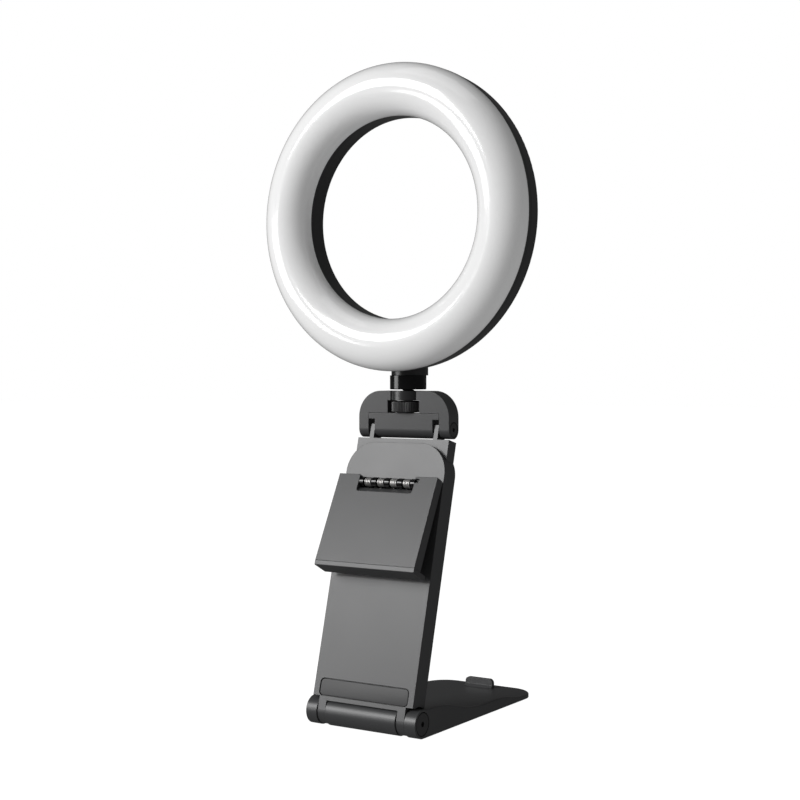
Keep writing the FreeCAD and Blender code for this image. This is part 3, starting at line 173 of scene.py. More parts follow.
class RingLightStudio(bpy.types.PropertyGroup):
    """The stage's light."""

    key_power: FloatProperty(
        name="Key Power", description="Front left softbox, in watts", default=35.0, min=0.0)
    side_power: FloatProperty(
        name="Side Power", description="Right softbox, in watts", default=3.0, min=0.0)
    top_power: FloatProperty(
        name="Top Power", description="Overhead softbox, in watts", default=2.0, min=0.0)
    strip_power: FloatProperty(
        name="Strip Power", description="Low strip on the left, in watts", default=6.0,
        min=0.0)
    ambient: FloatProperty(
        name="Ambient", description="Strength of the room's own light", default=0.08, min=0.0)
    floor_bounce: FloatProperty(
        name="Floor Bounce", description="Light that the floor gives to the object",
        default=0.32, min=0.0)
    floor_white: FloatProperty(
        name="Floor White", description="The floor's own brightness as the camera sees it",
        default=1.0, min=0.0)
    show_floor: BoolProperty(
        name="Floor", description="Make the pale floor", default=True)


# ---------------------------------------------------------------- shared shader groups
def new_group(name, inputs, outputs):
    """A shader group with named sockets: (kind, name, default) in and (kind, name) out."""
    group = bpy.data.node_groups.new(name, "ShaderNodeTree")
    for kind, label, default in inputs:
        socket = group.interface.new_socket(name=label, in_out="INPUT", socket_type=kind)
        socket.default_value = default
    for kind, label in outputs:
        group.interface.new_socket(name=label, in_out="OUTPUT", socket_type=kind)
    return group, group.nodes.new("NodeGroupInput"), group.nodes.new("NodeGroupOutput")


def node(tree, kind, **settings):
    made = tree.nodes.new(kind)
    for key, value in settings.items():
        setattr(made, key, value)
    return made


def moulded_grain():
    """Fine moulded texture: mottled colour, uneven gloss and a grain height."""
    group, given, out = new_group(
        "Moulded Grain",
        [("NodeSocketColor", "Colour", (0.5, 0.5, 0.5, 1.0)),
         ("NodeSocketFloat", "Grain Scale", 2500.0),
         ("NodeSocketFloat", "Mottle", 0.08),
         ("NodeSocketFloat", "Roughness", 0.45),
         ("NodeSocketFloat", "Gloss Spread", 0.08)],
        [("NodeSocketColor", "Colour"), ("NodeSocketFloat", "Roughness"),
         ("NodeSocketFloat", "Height")])
    link = group.links.new
    place = node(group, "ShaderNodeTexCoord")
    grain = node(group, "ShaderNodeTexNoise")
    grain.inputs["Detail"].default_value = 2.0
    link(place.outputs["Object"], grain.inputs["Vector"])
    link(given.outputs["Grain Scale"], grain.inputs["Scale"])
    cloud = node(group, "ShaderNodeTexNoise")
    cloud.inputs["Scale"].default_value = 55.0
    cloud.inputs["Detail"].default_value = 4.0
    link(place.outputs["Object"], cloud.inputs["Vector"])
    centred = node(group, "ShaderNodeMath", operation="SUBTRACT")
    centred.inputs[1].default_value = 0.5
    link(cloud.outputs["Fac"], centred.inputs[0])
    fine = node(group, "ShaderNodeMath", operation="SUBTRACT")
    fine.inputs[1].default_value = 0.5
    link(grain.outputs["Fac"], fine.inputs[0])
    both = node(group, "ShaderNodeMath", operation="ADD")
    link(centred.outputs[0], both.inputs[0])
    link(fine.outputs[0], both.inputs[1])
    shade = node(group, "ShaderNodeMath", operation="MULTIPLY_ADD")
    shade.inputs[2].default_value = 1.0
    link(both.outputs[0], shade.inputs[0])
    link(given.outputs["Mottle"], shade.inputs[1])
    tint = node(group, "ShaderNodeVectorMath", operation="SCALE")
    link(given.outputs["Colour"], tint.inputs[0])
    link(shade.outputs[0], tint.inputs["Scale"])
    gloss = node(group, "ShaderNodeMath", operation="MULTIPLY_ADD")
    link(both.outputs[0], gloss.inputs[0])
    link(given.outputs["Gloss Spread"], gloss.inputs[1])
    link(given.outputs["Roughness"], gloss.inputs[2])
    link(tint.outputs[0], out.inputs["Colour"])
    link(gloss.outputs[0], out.inputs["Roughness"])
    link(grain.outputs["Fac"], out.inputs["Height"])
    return group


def softened_edges():
    """Rounds sharp edges in the shading and gives a mask of where they are."""
    group, given, out = new_group(
        "Softened Edges", [("NodeSocketFloat", "Edge Radius", 0.3 * MM)],
        [("NodeSocketVector", "Normal"), ("NodeSocketFloat", "Edge")])
    link = group.links.new
    bevel = node(group, "ShaderNodeBevel", samples=6)
    link(given.outputs["Edge Radius"], bevel.inputs["Radius"])
    surface = node(group, "ShaderNodeNewGeometry")
    agree = node(group, "ShaderNodeVectorMath", operation="DOT_PRODUCT")
    link(bevel.outputs[0], agree.inputs[0])
    link(surface.outputs["Normal"], agree.inputs[1])
    edge = node(group, "ShaderNodeMapRange")
    edge.inputs["From Min"].default_value = 0.995
    edge.inputs["From Max"].default_value = 0.8
    link(agree.outputs["Value"], edge.inputs["Value"])
    link(bevel.outputs[0], out.inputs["Normal"])
    link(edge.outputs[0], out.inputs["Edge"])
    return group


GROUPS = {}


def shared(name):
    if name not in GROUPS:
        GROUPS[name] = {"grain": moulded_grain, "edges": softened_edges}[name]()
    return GROUPS[name]


# ---------------------------------------------------------------- finishes
def plastic(name, colour, grain_scale, bump, roughness, spread, mottle, edge_light,
            edge_radius=0.25 * MM, **plain):
    """A moulded or painted finish. plain holds constants for the shader's own sockets."""
    material = bpy.data.materials.new(name)
    material.use_nodes = True
    tree = material.node_tree
    shader = tree.nodes["Principled BSDF"]
    grain = node(tree, "ShaderNodeGroup", node_tree=shared("grain"))
    grain.inputs["Colour"].default_value = (*colour, 1.0)
    grain.inputs["Grain Scale"].default_value = grain_scale
    grain.inputs["Mottle"].default_value = mottle
    grain.inputs["Roughness"].default_value = roughness
    grain.inputs["Gloss Spread"].default_value = spread
    edges = node(tree, "ShaderNodeGroup", node_tree=shared("edges"))
    edges.inputs["Edge Radius"].default_value = edge_radius
    # Edge tone: where the Softened Edges mask is set, the colour is scaled by edge_light. Below 1
    # (charcoal) this is painted shade along the edges; above 1 the edges are painted lighter.
    painted_edge_tone = node(tree, "ShaderNodeMix", data_type="RGBA")
    painted_edge_tone.inputs["B"].default_value = (*[min(1.0, c * edge_light) for c in colour], 1.0)
    tree.links.new(edges.outputs["Edge"], painted_edge_tone.inputs["Factor"])
    tree.links.new(grain.outputs["Colour"], painted_edge_tone.inputs["A"])
    tree.links.new(painted_edge_tone.outputs["Result"], shader.inputs["Base Color"])
    tree.links.new(grain.outputs["Roughness"], shader.inputs["Roughness"])
    relief = node(tree, "ShaderNodeBump")
    relief.inputs["Strength"].default_value = bump
    relief.inputs["Distance"].default_value = 0.05 * MM
    tree.links.new(grain.outputs["Height"], relief.inputs["Height"])
    tree.links.new(edges.outputs["Normal"], relief.inputs["Normal"])
    tree.links.new(relief.outputs[0], shader.inputs["Normal"])
    for socket, value in plain.items():
        shader.inputs[socket.replace("_", " ")].default_value = value
    return material


SHELL = "satin_black"


def make_finishes(colours):
    """Every finish of the light, by the name of its slot in the record."""
    return {
        # Charcoal's edge_light of 0.7 paints shade along its edges.
        "charcoal": plastic("Satin Charcoal", colours.charcoal, 2600.0, 0.20, 0.37, 0.05,
                            0.06, 0.7, Specular_IOR_Level=0.5),
        "rubber": plastic("Matt Rubber", colours.rubber, 1800.0, 0.4, 0.52, 0.08, 0.12, 1.3,
                          Specular_IOR_Level=0.5),
        "black_plastic": plastic("Gloss Black", colours.black, 3200.0, 0.04, 0.15, 0.03,
                                 0.10, 1.6, Specular_IOR_Level=0.4),
        SHELL: plastic("Satin Black", colours.shell, 3000.0, 0.08, 0.30, 0.05, 0.10, 1.2),
        "diffuser": plastic("Opal Diffuser", colours.opal, 900.0, 0.02, 0.16, 0.02,
                            0.01, 1.0, Coat_Weight=0.6, Coat_Roughness=0.04),
        "steel": plastic("Nickel Steel", colours.steel, 5000.0, 0.15, 0.40, 0.10,
                         0.10, 1.1, 0.12 * MM, Metallic=1.0),
        "black_steel": plastic("Black Steel", colours.black_steel, 4500.0, 0.12, 0.34, 0.08,
                               0.10, 1.4, 0.12 * MM, Specular_IOR_Level=0.6),
        "brass": plastic("Turned Brass", colours.brass, 4000.0, 0.15, 0.28, 0.10,
                         0.10, 1.2, 0.12 * MM, Metallic=1.0),
        "nylon": plastic("Natural Nylon", colours.nylon, 2000.0, 0.2, 0.45, 0.08,
                         0.05, 1.1, Subsurface_Weight=0.1),
        "board": plastic("Board White", colours.board, 3000.0, 0.1, 0.35, 0.05,
                         0.06, 1.0),
        "led_cool": plastic("Phosphor Cool", (0.80, 0.74, 0.25), 3000.0, 0.1, 0.3, 0.05,
                            0.05, 1.1, 0.1 * MM),
        "led_warm": plastic("Phosphor Warm", (0.80, 0.42, 0.10), 3000.0, 0.1, 0.3, 0.05,
                            0.05, 1.1, 0.1 * MM),
    }


FINISHES = {}
SHELL_NODES = ("ring_housing", "stud_collar")


def finish(obj, slot):
    """Puts one finish on a whole object."""
    obj.data.materials.clear()
    obj.data.materials.append(FINISHES[slot])
    for face in obj.data.polygons:
        face.material_index = 0


def node_slots():
    return {s["node"]: s["material_slot"] for s in frame["record"]["subparts"]}


# ---------------------------------------------------------------- modelling helpers
def clear_selection():
    for obj in bpy.context.selected_objects:
        obj.select_set(False)


def name_new(name):
    obj = bpy.context.active_object
    obj.name = name
    obj.data.name = name
    return obj


def settle(obj):
    """Moves an object's place, turn and size into its mesh."""
    clear_selection()
    obj.select_set(True)
    bpy.context.view_layer.objects.active = obj
    bpy.ops.object.transform_apply(location=True, rotation=True, scale=True)


def close_up(obj, distance=0.002 * MM):
    """Merges doubled points and turns every face outwards."""
    bpy.ops.object.mode_set(mode="EDIT")
    bpy.ops.mesh.select_all(action="SELECT")
    bpy.ops.mesh.remove_doubles(threshold=distance)
    bpy.ops.mesh.normals_make_consistent(inside=False)
    bpy.ops.object.mode_set(mode="OBJECT")


def choose(obj, kind, wanted):
    """Selects exactly the wanted vertices or faces in object mode."""
    for part in obj.data.vertices:
        part.select = False
    for part in obj.data.edges:
        part.select = False
    for part in obj.data.polygons:
        part.select = False
    parts = {"VERT": obj.data.vertices, "EDGE": obj.data.edges,
             "FACE": obj.data.polygons}[kind]
    for part in parts:
        part.select = bool(wanted(part))


def edit(obj, kind):
    clear_selection()
    obj.select_set(True)
    bpy.context.view_layer.objects.active = obj
    bpy.context.tool_settings.mesh_select_mode = (kind == "VERT", kind == "EDGE",
                                                  kind == "FACE")
    bpy.ops.object.mode_set(mode="EDIT")


def leave():
    bpy.ops.object.mode_set(mode="OBJECT")


def apply_modifiers(obj):
    clear_selection()
    obj.select_set(True)
    bpy.context.view_layer.objects.active = obj
    for name in [m.name for m in obj.modifiers]:
        bpy.ops.object.modifier_apply(modifier=name)


def smooth(obj, degrees=35.0):
    clear_selection()
    obj.select_set(True)
    bpy.context.view_layer.objects.active = obj
    bpy.ops.object.shade_smooth_by_angle(angle=math.radians(degrees))


def place_turned(obj, place, lean):
    """Leans an object drawn at the origin about X and puts it in its place."""
    obj.rotation_euler = (-lean, 0.0, 0.0)
    obj.location = place
    settle(obj)


def bare_circle(name, count, radius, place):
    clear_selection()
    bpy.ops.mesh.primitive_circle_add(vertices=count, radius=radius, fill_type="NOTHING",
                                      location=place)
    obj = name_new(name)
    settle(obj)
    return obj


def turned_piece(name, outline, place, count, hollow=False):
    """Draws a circle up through (height, radius) steps and closes its ends or its bore."""
    height, radius = outline[0]
    obj = bare_circle(name, count, radius, (place.x, place.y, height))
    edit(obj, "VERT")
    bpy.ops.mesh.select_all(action="SELECT")
    for next_height, next_radius in outline[1:]:
        bpy.ops.mesh.extrude_region_move(
            TRANSFORM_OT_translate={"value": (0.0, 0.0, next_height - height)})
        share = next_radius / radius
        bpy.ops.transform.resize(value=(share, share, 1.0),
                                 center_override=(place.x, place.y, next_height))
        height, radius = next_height, next_radius
    leave()
    edit(obj, "EDGE")
    bpy.ops.mesh.select_all(action="DESELECT")
    bpy.ops.mesh.select_non_manifold()
    if hollow:
        bpy.ops.mesh.bridge_edge_loops()
    else:
        bpy.ops.mesh.fill_holes(sides=0)
    leave()
    close_up(obj)
    return obj


def rounded_slab(name, low, high, corner, rim):
    """A block with round corners along Y and a rounded rim round its -Y face."""
    clear_selection()
    centre = (Vector(low) + Vector(high)) / 2.0
    bpy.ops.mesh.primitive_cube_add(size=1.0, location=centre)
    obj = name_new(name)
    obj.scale = Vector(high) - Vector(low)
    settle(obj)
    points = obj.data.vertices
    choose(obj, "EDGE", lambda e: abs(points[e.vertices[0]].co.y
                                      - points[e.vertices[1]].co.y) > 0.01 * MM)
    edit(obj, "EDGE")
    bpy.ops.mesh.bevel(offset=corner, segments=8, affect="EDGES")
    leave()
    points = obj.data.vertices
    choose(obj, "EDGE", lambda e: max(points[e.vertices[0]].co.y,
                                      points[e.vertices[1]].co.y) < low[1] + 0.01 * MM)
    edit(obj, "EDGE")
    bpy.ops.mesh.bevel(offset=rim, segments=3, affect="EDGES")
    leave()
    close_up(obj)
    return obj


def copies(obj, shifts):
    """Copies a finished piece with its own mesh to each shift and joins the lot."""
    made = [obj]
    for shift in shifts:
        clear_selection()
        obj.select_set(True)
        bpy.context.view_layer.objects.active = obj
        bpy.ops.object.duplicate(linked=False)
        copy = bpy.context.active_object
        copy.location = Vector(shift)
        settle(copy)
        made.append(copy)
    clear_selection()
    for part in made:
        part.select_set(True)
    bpy.context.view_layer.objects.active = obj
    bpy.ops.object.join()
    return obj


def hand_over(obj, body, slot, replaced):
    """Gives a finished piece its finish, body and slot, and hides the node it stands for."""
    finish(obj, slot)
    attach(obj, body)
    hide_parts(replaced)


# ---------------------------------------------------------------- pieces
class RINGLIGHT_OT_frame_finishes(bpy.types.Operator):
    """Puts the finishes on the frame's own pieces"""

    bl_idname = "ringlight.frame_finishes"
    bl_label = "Frame Finishes"

    def execute(self, context):
        FINISHES.update(make_finishes(context.scene.ring_light_colours))
        for name, slot in node_slots().items():
            finish(NODES[name], SHELL if name in SHELL_NODES else slot)
        return {"FINISHED"}


class RINGLIGHT_OT_diffuser(bpy.types.Operator):
    """Spins the white diffuser ring from half an ellipse"""

    bl_idname = "ringlight.diffuser"
    bl_label = "Diffuser"

    def execute(self, context):
        sizes = context.scene.ring_light_sizes
        reach = sizes.diffuser_width / 2.0
        mid = RING_OUTER - reach
        clear_selection()
        bpy.ops.mesh.primitive_circle_add(vertices=96, radius=reach, fill_type="NOTHING",
                                          location=(mid, SEAM_Y, RING_CENTRE_Z))
        ring = name_new("diffuser_ring")
        ring.scale.y = sizes.diffuser_bulge / reach
        settle(ring)
        choose(ring, "VERT", lambda v: v.co.y > SEAM_Y + 0.01 * MM)
        edit(ring, "VERT")
        bpy.ops.mesh.delete(type="VERT")
        leave()
        for edge_x, inward in ((RING_OUTER, -1.0), (RING_OUTER - sizes.diffuser_width, 1.0)):
            choose(ring, "VERT", lambda v: abs(v.co.y - SEAM_Y) < 0.01 * MM
                   and abs(v.co.x - edge_x) < 0.01 * MM)
            edit(ring, "VERT")
            bpy.ops.mesh.extrude_region_move(
                TRANSFORM_OT_translate={"value": (inward * 1.9 * MM, 0.0, 0.0)})
            bpy.ops.mesh.extrude_region_move(
                TRANSFORM_OT_translate={"value": (0.0, 2.4 * MM, 0.0)})
            leave()
        edit(ring, "VERT")
        bpy.ops.mesh.select_all(action="SELECT")
        bpy.ops.mesh.spin(steps=sizes.diffuser_steps, angle=2.0 * math.pi,
                          center=(0.0, SEAM_Y, RING_CENTRE_Z), axis=(0.0, 1.0, 0.0))
        leave()
        close_up(ring)
        wall = ring.modifiers.new("Wall", "SOLIDIFY")
        wall.thickness = sizes.diffuser_wall
        wall.offset = -1.0
        bpy.ops.object.modifier_apply(modifier=wall.name)
        bpy.ops.object.shade_smooth_by_angle(angle=math.radians(40.0))
        hand_over(ring, "light_head", "diffuser", "ring_diffuser")
        return {"FINISHED"}


class RINGLIGHT_OT_springs(bpy.types.Operator):
    """Winds the clip's four torsion springs"""

    bl_idname = "ringlight.springs"
    bl_label = "Clip Springs"

    def execute(self, context):
        sizes = context.scene.ring_light_sizes
        coil_r = sizes.spring_radius - sizes.spring_wire
        half_wound = sizes.spring_turns * sizes.spring_pitch / 2.0
        wire = bare_circle("clip_spring_coils", 14, sizes.spring_wire,
                           (-half_wound, coil_r, 0.0))
        winding = wire.modifiers.new("Winding", "SCREW")
        winding.axis = "X"
        winding.angle = 2.0 * math.pi
        winding.screw_offset = sizes.spring_pitch
        winding.iterations = sizes.spring_turns
        winding.steps = 32
        winding.render_steps = 32
        winding.use_merge_vertices = False
        apply_modifiers(wire)
        for side, leg in ((-1.0, -2.6 * MM), (1.0, 1.2 * MM)):
            choose(wire, "VERT", lambda v: abs(v.co.z) < 0.01 * MM and v.co.y > 0.0
                   and abs(v.co.x - side * half_wound) < sizes.spring_wire * 1.01)
            edit(wire, "VERT")
            bpy.ops.mesh.extrude_region_move(
                TRANSFORM_OT_translate={"value": (0.0, 0.0, leg)})
            leave()
        edit(wire, "EDGE")
        bpy.ops.mesh.select_all(action="DESELECT")
        bpy.ops.mesh.select_non_manifold()
        bpy.ops.mesh.fill_holes(sides=0)
        leave()
        close_up(wire)
        smooth(wire, 50.0)
        wire.location.x = -1.5 * sizes.spring_spacing
        settle(wire)
        copies(wire, [(k * sizes.spring_spacing, 0.0, 0.0) for k in (1, 2, 3)])
        place_turned(wire, (0.0, CLIP_PIN.y, CLIP_PIN.z), LEAN)
        hand_over(wire, "lower_arm", "steel", "clip_springs")
        return {"FINISHED"}


class RINGLIGHT_OT_stud(bpy.types.Operator):
    """Turns the camera stud and winds its quarter-inch thread"""

    bl_idname = "ringlight.stud"
    bl_label = "Camera Stud"

    def execute(self, context):
        sizes = context.scene.ring_light_sizes
        tip = 0.7 * MM
        top = STUD_HIGH.z
        outline = [(STUD_LOW.z, sizes.stud_journal - 0.3 * MM),
                   (STUD_LOW.z + 0.3 * MM, sizes.stud_journal),
                   (WHEEL_LOW.z, sizes.stud_journal),
                   (WHEEL_LOW.z, sizes.stud_core),
                   (WHEEL_HIGH.z, sizes.stud_core),
                   (WHEEL_HIGH.z, sizes.thread_root),
                   (top - tip, sizes.thread_root),
                   (top, sizes.thread_root - tip)]
        stud = turned_piece("camera_stud_turned", outline, STUD_AXIS, 64)
        pitch = sizes.thread_pitch
        depth = sizes.thread_radius - sizes.thread_root
        clear_selection()
        bpy.ops.mesh.primitive_plane_add(size=0.1 * MM, location=(0.0, 0.0, 0.0))
        thread = name_new("camera_stud_thread")
        edit(thread, "VERT")
        bpy.ops.mesh.select_all(action="SELECT")
        bpy.ops.mesh.merge(type="CENTER")
        bpy.ops.transform.translate(value=(sizes.thread_root, 0.0, 0.0))
        for across, up in ((depth, 0.42), (0.0, 0.12), (-depth, 0.42)):
            bpy.ops.mesh.extrude_region_move(
                TRANSFORM_OT_translate={"value": (across, 0.0, up * pitch)})
        leave()
        turns = int((top - tip - WHEEL_HIGH.z) / pitch) - 1
        winding = thread.modifiers.new("Thread", "SCREW")
        winding.angle = 2.0 * math.pi
        winding.screw_offset = pitch
        winding.iterations = turns
        winding.steps = 48
        winding.render_steps = 48
        apply_modifiers(thread)
        edit(thread, "EDGE")
        bpy.ops.mesh.select_all(action="SELECT")
        bpy.ops.mesh.remove_doubles(threshold=0.01 * MM)
        bpy.ops.mesh.normals_make_consistent(inside=False)
        leave()
        thread.location = (STUD_AXIS.x, STUD_AXIS.y, WHEEL_HIGH.z + 0.5 * pitch)
        settle(thread)
        clear_selection()
        thread.select_set(True)
        stud.select_set(True)
        bpy.context.view_layer.objects.active = stud
        bpy.ops.object.join()
        smooth(stud)
        hand_over(stud, "wheel", "black_steel", "camera_stud")
        return {"FINISHED"}


class RINGLIGHT_OT_thumb_wheel(bpy.types.Operator):
    """Turns the thumb wheel and cuts its straight knurl"""

    bl_idname = "ringlight.thumb_wheel"
    bl_label = "Thumb Wheel"

    def execute(self, context):
        sizes = context.scene.ring_light_sizes
        radius = (WHEEL_HIGH.x - WHEEL_LOW.x) / 2.0
        bore = sizes.stud_core + 0.03 * MM
        low, high = WHEEL_LOW.z, WHEEL_HIGH.z
        bevel = 0.5 * MM
        outline = [(low, bore), (low, radius - 2.2 * MM), (low + 0.2 * MM, radius - 2.0 * MM),
                   (low + 0.2 * MM, radius - bevel - 0.25 * MM), (low + bevel, radius),
                   (high - bevel, radius), (high - 0.2 * MM, radius - bevel - 0.25 * MM),
                   (high - 0.2 * MM, radius - 2.0 * MM), (high, radius - 2.2 * MM),
                   (high, bore)]
        wheel = turned_piece("thumb_wheel_knurled", outline, STUD_AXIS,
                             2 * sizes.knurl_teeth, hollow=True)
        step = math.pi / sizes.knurl_teeth
        start = math.pi / 2.0

        def in_valley(vertex):
            across = Vector((vertex.co.x - STUD_AXIS.x, vertex.co.y - STUD_AXIS.y))
            turn = round((math.atan2(across.y, across.x) - start) / step)
            return turn % 2 == 1 and across.length > radius - 0.01 * MM

        choose(wheel, "VERT", in_valley)
        edit(wheel, "VERT")
        share = (radius - sizes.knurl_depth) / radius
        bpy.ops.transform.resize(value=(share, share, 1.0),
                                 center_override=(STUD_AXIS.x, STUD_AXIS.y, low))
        leave()
        smooth(wheel, 12.0)
        hand_over(wheel, "wheel", "black_plastic", "thumb_wheel")
        finish(wheel, SHELL)
        return {"FINISHED"}


class RINGLIGHT_OT_pads(bpy.types.Operator):
    """Moulds the arm's pad, the clip's pad and the four feet"""

    bl_idname = "ringlight.pads"
    bl_label = "Rubber Pads"

    def execute(self, context):
        rim = context.scene.ring_light_sizes.pad_edge
        pad = rounded_slab("arm_pad", (-25.6 * MM, -6.2 * MM, 6.95 * MM),
                           (25.6 * MM, -5.35 * MM, 15.1 * MM), 2.0 * MM, rim)
        smooth(pad)
        place_turned(pad, (0.0, HINGE.y, HINGE.z), LEAN)
        hand_over(pad, "lower_arm", "rubber", "arm_rubber_pad")
        grip = rounded_slab("clip_pad", (-25.0 * MM, -0.5 * MM, -14.75 * MM),
                            (25.0 * MM, 0.5 * MM, 14.75 * MM), 2.0 * MM, rim)
        smooth(grip)
        grip.rotation_euler.z = math.pi
        settle(grip)
        place_turned(grip, (0.0, 3.577 * MM, -24.75 * MM), -math.radians(0.985))
        place_turned(grip, (0.0, CLIP_PIN.y, CLIP_PIN.z), LEAN + CLIP_LEAN)
        hand_over(grip, "clip", "rubber", "clip_rubber_pad")
        low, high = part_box("rubber_feet")
        foot = rounded_slab("desk_feet", (-4.0 * MM, 0.0, -7.5 * MM),
                            (4.0 * MM, high.z - low.z, 7.5 * MM), 2.0 * MM, 0.2 * MM)
        smooth(foot)
        place_turned(foot, (high.x - 4.0 * MM, low.y + 7.5 * MM, low.z), -math.pi / 2.0)
        across = -(high.x - low.x) + 8.0 * MM
        along = high.y - low.y - 15.0 * MM
        inward = 4.0 * MM
        copies(foot, [(across, 0.0, 0.0), (-inward, along, 0.0),
                      (across + inward, along, 0.0)])
        hand_over(foot, "base", "rubber", "rubber_feet")
        return {"FINISHED"}


class RINGLIGHT_OT_buttons(bpy.types.Operator):
    """Turns one dished push button and copies it along the ring's back"""

    bl_idname = "ringlight.buttons"
    bl_label = "Push Buttons"

    def execute(self, context):
        names = ("power_button", "colour_button", "brighter_button", "dimmer_button")
        outline = [(z * MM, r * MM) for z, r in (
            (-5.05, 1.0), (-4.55, 1.0), (-4.55, 3.4), (-3.75, 3.4), (-3.75, 2.6), (-1.4, 2.6),
            (-1.15, 2.5), (-1.02, 2.3), (-1.0, 2.05), (-1.12, 1.5), (-1.2, 0.8), (-1.22, 0.2))]
        first = turned_piece("button_cap", outline, Vector((0.0, 0.0, 0.0)), 48)
        smooth(first, 50.0)
        first.rotation_euler = (-math.pi / 2.0, 0.0, 0.0)
        first.location.y = 1.0 * MM
        settle(first)
        for index, name in enumerate(names):
            cap = first
            if index < len(names) - 1:
                clear_selection()
                first.select_set(True)
                bpy.context.view_layer.objects.active = first
                bpy.ops.object.duplicate(linked=False)
                cap = bpy.context.active_object
            cap.name = name + "_cap"
            cap.data.name = cap.name
            low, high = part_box(name)
            centre = (low + high) / 2.0
            cap.location = (centre.x, high.y, centre.z)
            settle(cap)
            hand_over(cap, name, "black_plastic", name)
        return {"FINISHED"}


# ---------------------------------------------------------------- stage
LIT_POINT = (0.0, -0.02, 0.16)
KEY_PLACE = (-1.13, -1.73, 1.12)
STRIP_PLACE = (-1.21, -1.05, 0.22)
STRIP_TARGET = (0.0, -0.02, 0.18)
SIDE_PLACE = (1.7, 0.1, 0.45)
TOP_PLACE = (-0.1, -0.3, 1.5)
BOX_SIZE = 0.9
STRIP_WIDTH = 0.83
STRIP_HEIGHT = 0.40
FLOOR_SIZE = 12.0
CAMERA_PLACE = (0.4071, -0.6537, 0.1752)
CAMERA_LENS = 67.3
CAMERA_DROP = 1.134
CAMERA_TURN = 32.957


def softbox(name, place, target, width, height, power):
    lamp = bpy.data.lights.new(name, "AREA")
    lamp.shape = "RECTANGLE"
    lamp.size = width
    lamp.size_y = height
    lamp.energy = power
    obj = bpy.data.objects.new(name, lamp)
    obj.location = place
    obj.rotation_euler = (Vector(target) - Vector(place)).to_track_quat("-Z", "Y").to_euler()
    bpy.context.scene.collection.objects.link(obj)
    return obj


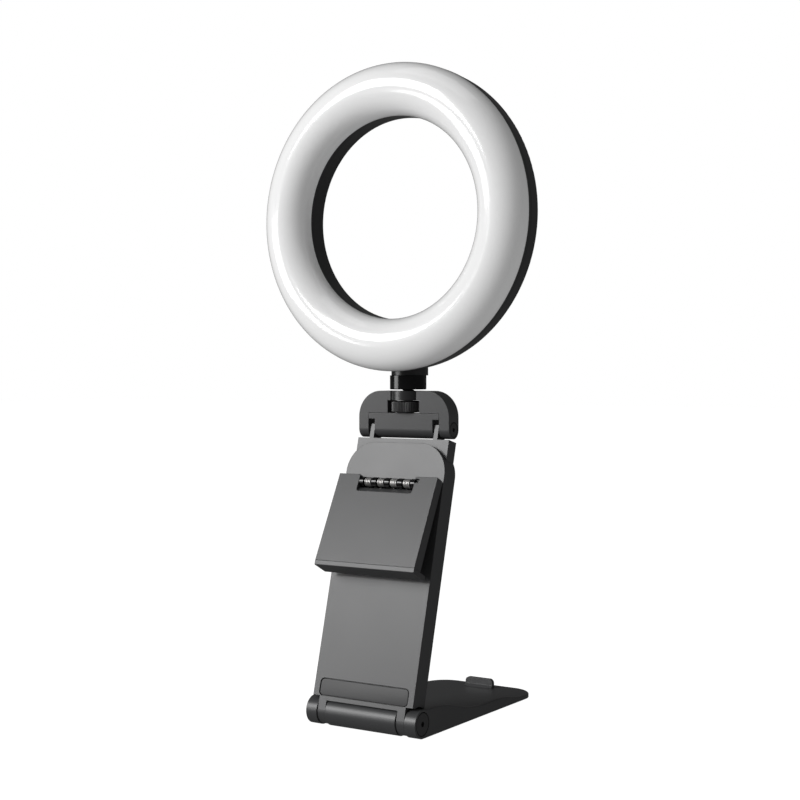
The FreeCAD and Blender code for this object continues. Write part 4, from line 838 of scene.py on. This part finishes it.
class RINGLIGHT_OT_stage(bpy.types.Operator):
    """Makes the pale floor, the soft light and the camera"""

    bl_idname = "ringlight.stage"
    bl_label = "Stage"

    def execute(self, context):
        scene = context.scene
        studio = scene.ring_light_studio
        world = bpy.data.worlds.new("Studio")
        scene.world = world
        world.use_nodes = True
        tree = world.node_tree
        tree.nodes.clear()
        sky = node(tree, "ShaderNodeBackground")
        sky.inputs["Color"].default_value = (1.0, 1.0, 1.0, 1.0)
        sky.inputs["Strength"].default_value = 1.0
        room = node(tree, "ShaderNodeBackground")
        room.inputs["Color"].default_value = (1.0, 1.0, 1.0, 1.0)
        room.inputs["Strength"].default_value = studio.ambient
        seen = node(tree, "ShaderNodeLightPath")
        mix = node(tree, "ShaderNodeMixShader")
        out = node(tree, "ShaderNodeOutputWorld")
        tree.links.new(seen.outputs["Is Camera Ray"], mix.inputs[0])
        tree.links.new(room.outputs[0], mix.inputs[1])
        tree.links.new(sky.outputs[0], mix.inputs[2])
        tree.links.new(mix.outputs[0], out.inputs[0])
        softbox("key_softbox", KEY_PLACE, LIT_POINT, BOX_SIZE, BOX_SIZE, studio.key_power)
        softbox("strip_softbox", STRIP_PLACE, STRIP_TARGET, STRIP_WIDTH, STRIP_HEIGHT,
                studio.strip_power)
        side = softbox("side_softbox", SIDE_PLACE, LIT_POINT, BOX_SIZE, BOX_SIZE,
                       studio.side_power)
        side.visible_glossy = False
        softbox("top_softbox", TOP_PLACE, LIT_POINT, BOX_SIZE, BOX_SIZE, studio.top_power)
        if studio.show_floor:
            clear_selection()
            bpy.ops.mesh.primitive_plane_add(size=FLOOR_SIZE, location=(0.0, 0.0, 0.0))
            floor = name_new("studio_floor")
            paper = bpy.data.materials.new("Pale Floor")
            paper.use_nodes = True
            shader = paper.node_tree.nodes["Principled BSDF"]
            shader.inputs["Base Color"].default_value = (0.16, 0.16, 0.16, 1.0)
            shader.inputs["Roughness"].default_value = 1.0
            shader.inputs["Specular IOR Level"].default_value = 0.0
            shader.inputs["Emission Color"].default_value = (1.0, 1.0, 1.0, 1.0)
            path = node(paper.node_tree, "ShaderNodeLightPath")
            glow = node(paper.node_tree, "ShaderNodeMath", operation="MULTIPLY_ADD")
            glow.inputs[1].default_value = studio.floor_white - studio.floor_bounce
            glow.inputs[2].default_value = studio.floor_bounce
            paper.node_tree.links.new(path.outputs["Is Camera Ray"], glow.inputs[0])
            paper.node_tree.links.new(glow.outputs[0], shader.inputs["Emission Strength"])
            floor.data.materials.append(paper)
            floor.visible_glossy = False
        camera = bpy.data.cameras.new("camera")
        camera.lens = CAMERA_LENS
        camera.sensor_width = 36.0
        camera.clip_start = 0.01
        camera.clip_end = 50.0
        viewer = bpy.data.objects.new("camera", camera)
        viewer.location = CAMERA_PLACE
        viewer.rotation_euler = (math.radians(90.0 - CAMERA_DROP), 0.0, math.radians(CAMERA_TURN))
        scene.collection.objects.link(viewer)
        scene.camera = viewer
        scene.view_settings.view_transform = "Standard"
        return {"FINISHED"}


# ---------------------------------------------------------------- panel and registration
PIECE_OPERATORS = (
    RINGLIGHT_OT_frame_finishes,
    RINGLIGHT_OT_diffuser,
    RINGLIGHT_OT_springs,
    RINGLIGHT_OT_stud,
    RINGLIGHT_OT_thumb_wheel,
    RINGLIGHT_OT_pads,
    RINGLIGHT_OT_buttons,
)


class RINGLIGHT_PT_sidebar(bpy.types.Panel):
    """Lists the light's sizes, colours and pieces"""

    bl_idname = "RINGLIGHT_PT_sidebar"
    bl_label = "Desk Ring Light"
    bl_space_type = "VIEW_3D"
    bl_region_type = "UI"
    bl_category = "Ring Light"

    def draw(self, context):
        for label, group in (("Sizes", context.scene.ring_light_sizes),
                             ("Colours", context.scene.ring_light_colours),
                             ("Studio", context.scene.ring_light_studio)):
            box = self.layout.box()
            box.label(text=label)
            for key in group.__class__.__annotations__:
                box.prop(group, key)
        column = self.layout.column()
        for operator in PIECE_OPERATORS + (RINGLIGHT_OT_stage,):
            column.operator(operator.bl_idname)


CLASSES = (RingLightSizes, RingLightColours, RingLightStudio) + PIECE_OPERATORS + (
    RINGLIGHT_OT_stage, RINGLIGHT_PT_sidebar)


def register():
    for cls in CLASSES:
        bpy.utils.register_class(cls)
    bpy.types.Scene.ring_light_sizes = PointerProperty(type=RingLightSizes)
    bpy.types.Scene.ring_light_colours = PointerProperty(type=RingLightColours)
    bpy.types.Scene.ring_light_studio = PointerProperty(type=RingLightStudio)


def unregister():
    del bpy.types.Scene.ring_light_studio
    del bpy.types.Scene.ring_light_colours
    del bpy.types.Scene.ring_light_sizes
    for cls in reversed(CLASSES):
        bpy.utils.unregister_class(cls)


def build():
    register()
    bpy.ops.ringlight.frame_finishes()
    bpy.ops.ringlight.diffuser()
    bpy.ops.ringlight.springs()
    bpy.ops.ringlight.stud()
    bpy.ops.ringlight.thumb_wheel()
    bpy.ops.ringlight.pads()
    bpy.ops.ringlight.buttons()
    bpy.ops.ringlight.stage()


if __name__ == "__main__":
    build()
